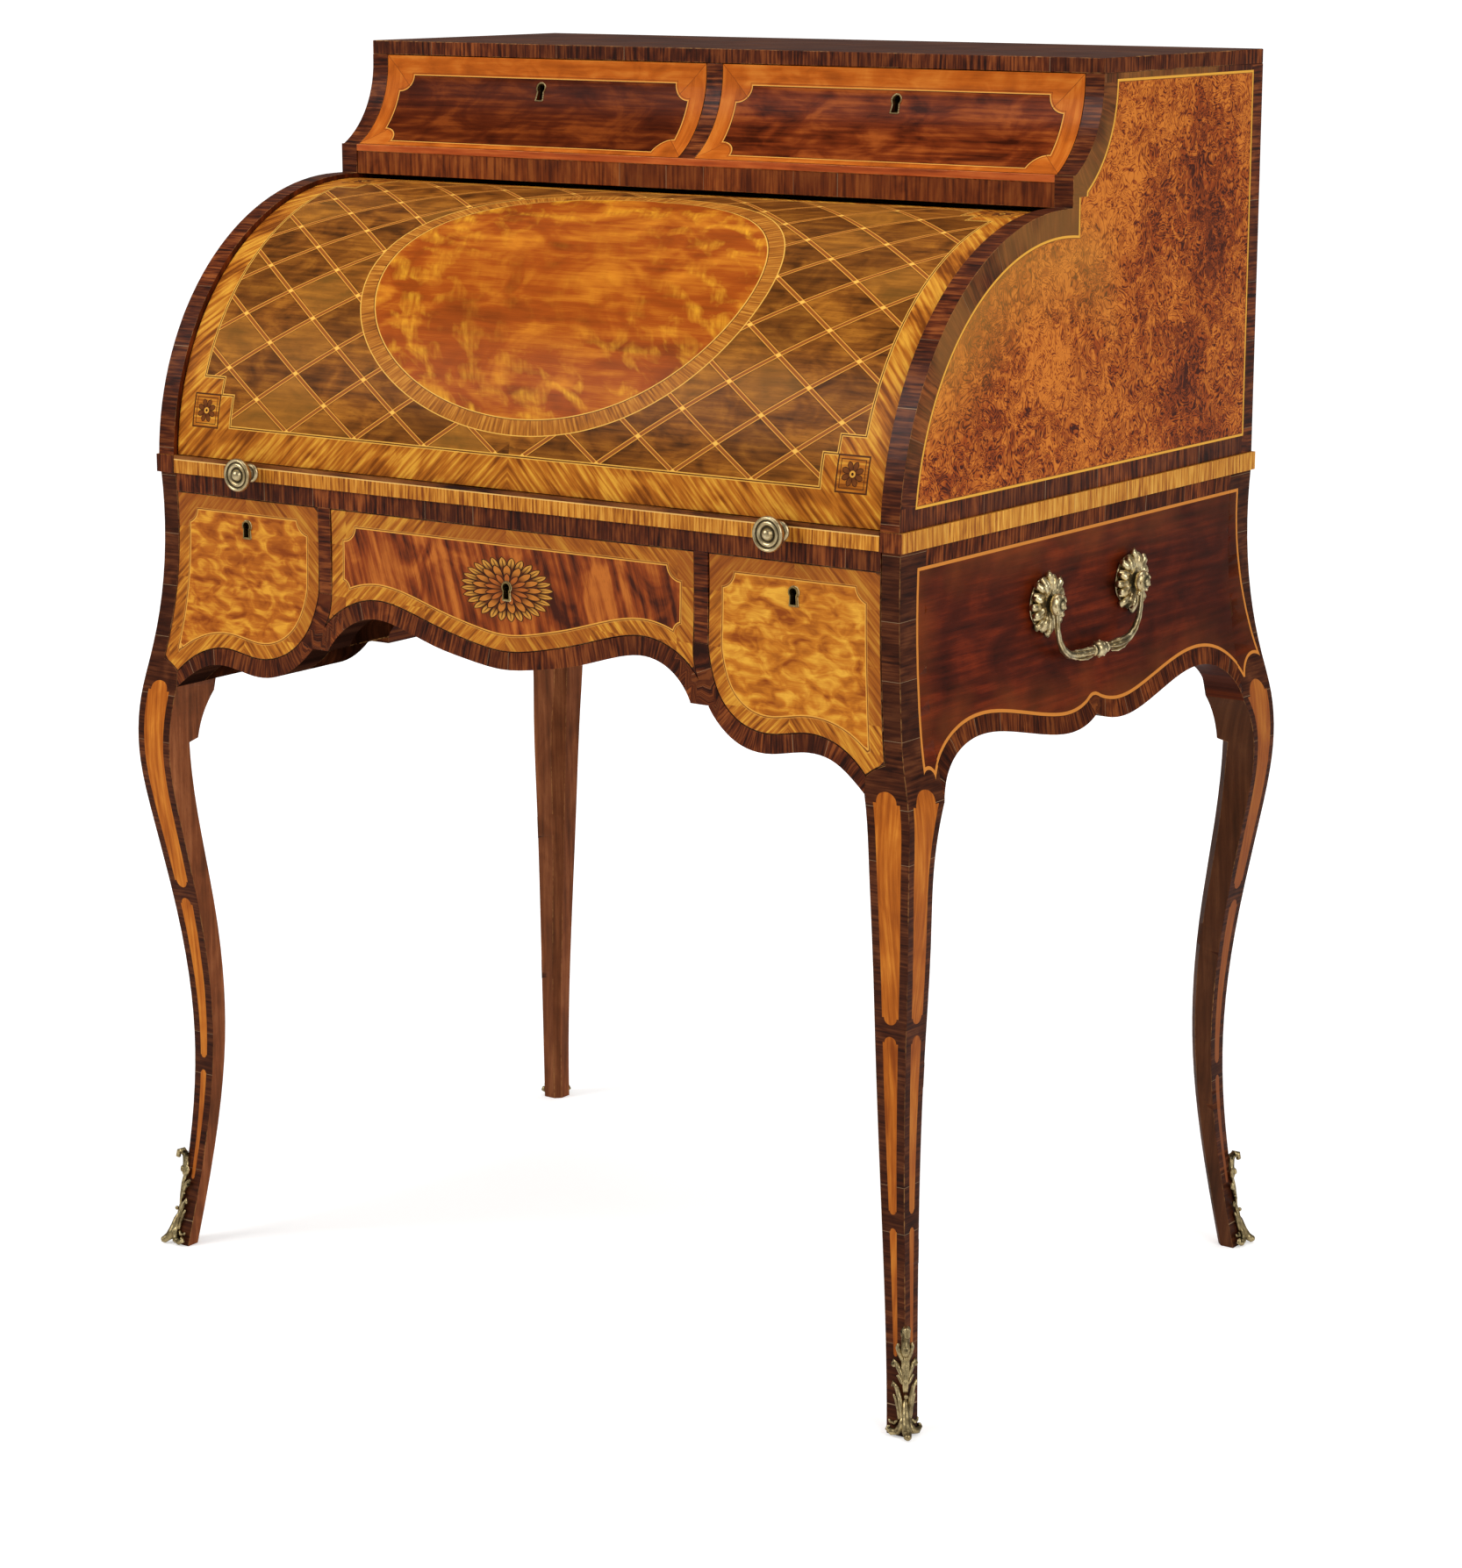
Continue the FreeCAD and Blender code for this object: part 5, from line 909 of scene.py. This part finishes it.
# Side handles. On each side two cast rosettes of ribbed leaves hold a boss with a ring of beads, and a fluted bail with
# a moulded knop hangs from the bosses; all chased and gilt, rubbed bright on top and black between the leaves.
gilt = metal("gilt_brass", "e6d6aa", "b49a66", "0c0804", 0.22, recess=(-0.2, 0.1))
BAIL_X, BAIL_Z, BOSS_Y, BOSS_Z = 384.8, 578.0, 66.5, 623.0
for side, sign in (("right", 1), ("left", -1)):
    rose = bmesh.new()
    for leaf in range(8):
        for rib, reach in ((-0.25, 21.0), (0.0, 24.2), (0.25, 21.0)):
            turn = math.tau * leaf / 8 + rib
            ray, wide = (Vector((0.0, math.cos(way), math.sin(way))) for way in (turn, turn + rib * 0.5))
            stations = ((377.0, 5.0, 2.0, 0.0), (378.2, 10.0, 2.7, 0.1), (378.4, reach * 0.66, 3.3, 0.3),
                        (377.8, reach * 0.86, 3.7, 0.6), (376.0, reach, 3.5, 1.0), (373.6, reach * 0.94, 2.5, 1.0))
            swept(rose, [(Vector((height, 0.0, 0.0)) + (ray * (1 - share) + wide * share) * out, radius)
                         for height, out, radius, share in stations], 6)
    across = Matrix.Rotation(math.pi / 2, 4, "Y")
    across.translation.x = 0.3712
    turned(rose, [(0, 0), (22, 0), (21, 1.6), (14, 3.0), (8.5, 4.6), (6.4, 6.5), (5.4, 9.0), (6.4, 10.4), (8.4, 11.4),
                  (9.2, 13.6), (8.6, 16.0), (6.4, 18.0), (3.6, 18.8), (2.6, 20.4), (0, 20.8)], across, 24)
    for dot in range(7):
        turn = math.tau * (dot + 0.5) / 7
        bead(rose, (388.2, 6.6 * math.cos(turn), 6.6 * math.sin(turn)), 2.1)
    bmesh.ops.translate(rose, verts=rose.verts, vec=(0.0, (MIDDLE_Y - BOSS_Y) / 1000, BOSS_Z / 1000))
    again(rose, Matrix.Translation((0.0, 2 * BOSS_Y / 1000, 0.0)))

    bail = bmesh.new()
    arm = ((BOSS_Y, BOSS_Z, 2.6), (66.3, 617.0, 2.7), (66.0, 611.0, 2.4), (65.2, 603.0, 2.5), (62.4, 594.0, 2.9),
           (56.5, 586.0, 3.3), (48.0, 580.6, 3.7), (38.0, 578.4, 4.4), (28.0, BAIL_Z, 4.9), (19.0, BAIL_Z, 3.9),
           (12.0, BAIL_Z, 2.9), (7.0, BAIL_Z, 2.7))
    curl = (BAIL_X, 66.4, 614.0, 2.0), (385.2, 63.4, 614.3, 1.9), (385.6, 61.0, 614.5, 1.7)
    sheath = ((5.0, 13.0, BAIL_Z, 4.2, 0.7), (5.6, 24.0, BAIL_Z, 5.2, 1.5), (5.0, 35.0, 578.6, 4.8, 0.9),
              (4.0, 43.0, 580.4, 4.0, 0.4))
    for way in both:
        swept(bail, [((BAIL_X, MIDDLE_Y + y * way, z), radius) for y, z, radius in arm], 12, 0.2)
        bead(bail, (385.6, MIDDLE_Y + 60.6 * way, 614.5), 3.0)
        swept(bail, [((x, MIDDLE_Y + y * way, z), radius) for x, y, z, radius in curl], 6)
        for turn in (-0.9, 0.0, 0.9):
            swept(bail, [((BAIL_X + out * math.cos(turn), MIDDLE_Y + y * way, z + rise * math.sin(turn)), radius)
                         for out, y, z, rise, radius in sheath], 6)
    knop = Matrix.Rotation(-math.pi / 2, 4, "X")
    knop.translation = Vector((BAIL_X, MIDDLE_Y, BAIL_Z)) / 1000
    half = [(2.0, 11.5), (4.6, 10.6), (5.0, 9.4), (3.6, 8.2), (3.4, 6.6), (5.6, 5.2), (6.6, 2.6)]
    turned(bail, [(radius, -y) for radius, y in half] + [(6.8, 0.0)] + half[::-1], knop, 20)
    for dot in range(8):
        turn = math.tau * dot / 8
        bead(bail, (BAIL_X + 6.2 * math.cos(turn), MIDDLE_Y, BAIL_Z + 6.2 * math.sin(turn)), 1.6)
    for casting, node in ((rose, "handle_rosettes_"), (bail, "handle_bail_")):
        bmesh.ops.scale(casting, vec=(sign, 1.0, 1.0), verts=casting.verts)
        cast(casting, node + side, gilt)


# Studio. A pale floor, a soft light on each side and one above, and the camera where the photograph was taken from.
ground = bmesh.new()
bmesh.ops.create_grid(ground, x_segments=1, y_segments=1, size=200.0)
paper = Finish("floor_paper")
colour = mixed("f0f0f0", "f4f4f4", noise(paper.x / 300.0, paper.y / 300.0))
glow = paper.x.root_with(paper.y).rising(300.0, 2600.0) * 0.3 + 0.42
seen = drawn(paper.tree, "LightPath", output="Is Camera Ray")
white = paper.ended({"Base Color": colour, "Roughness": 0.9, "Specular IOR Level": 0.0,
                     "Emission Color": (1.0, 1.0, 1.0, 1.0), "Emission Strength": seen * glow})
floor = meshed(ground, "floor", white)

world = bpy.data.worlds.new("studio")
bpy.context.scene.world = world
world.use_nodes = True
sky = world.node_tree.nodes["Background"]
sky.inputs["Color"].default_value = (1.0, 0.98, 0.96, 1.0)
seen, glossy = (drawn(world.node_tree, "LightPath", output=name) for name in ("Is Camera Ray", "Is Glossy Ray"))
feed(sky.inputs["Strength"], seen * 0.6 + 0.5 - glossy * 0.3)


def softbox(name, place, aim, size, power):
    lamp = bpy.data.lights.new(name, "AREA")
    lamp.shape, lamp.size, lamp.energy = "SQUARE", size, power
    light = placed(name, lamp)
    light.location = place
    light.rotation_euler = (Vector(aim) - Vector(place)).to_track_quat("-Z", "Y").to_euler()


softbox("key", (-1.6, -2.6, 2.6), (0.0, 0.0, 0.6), 1.6, 60.0)
softbox("fill", (2.8, -0.9, 2.0), (0.0, 0.0, 0.6), 1.8, 36.0)
softbox("above", (0.3, 0.4, 3.2), (0.0, 0.0, 0.8), 1.6, 22.0)

lens = bpy.data.cameras.new("camera")
lens.sensor_fit, lens.sensor_height = "VERTICAL", 36.0
focal_pixels, picture_pixels = 4383.3, 1787
lens.lens = focal_pixels / picture_pixels * lens.sensor_height
camera = placed("camera", lens)
camera.location = (1.89341, -2.61948, 1.14865)
camera.rotation_euler = (math.radians(90 - 12.745), 0.0, math.radians(35.461))
bpy.context.scene.camera = camera
bpy.context.scene.view_settings.view_transform = "Standard"
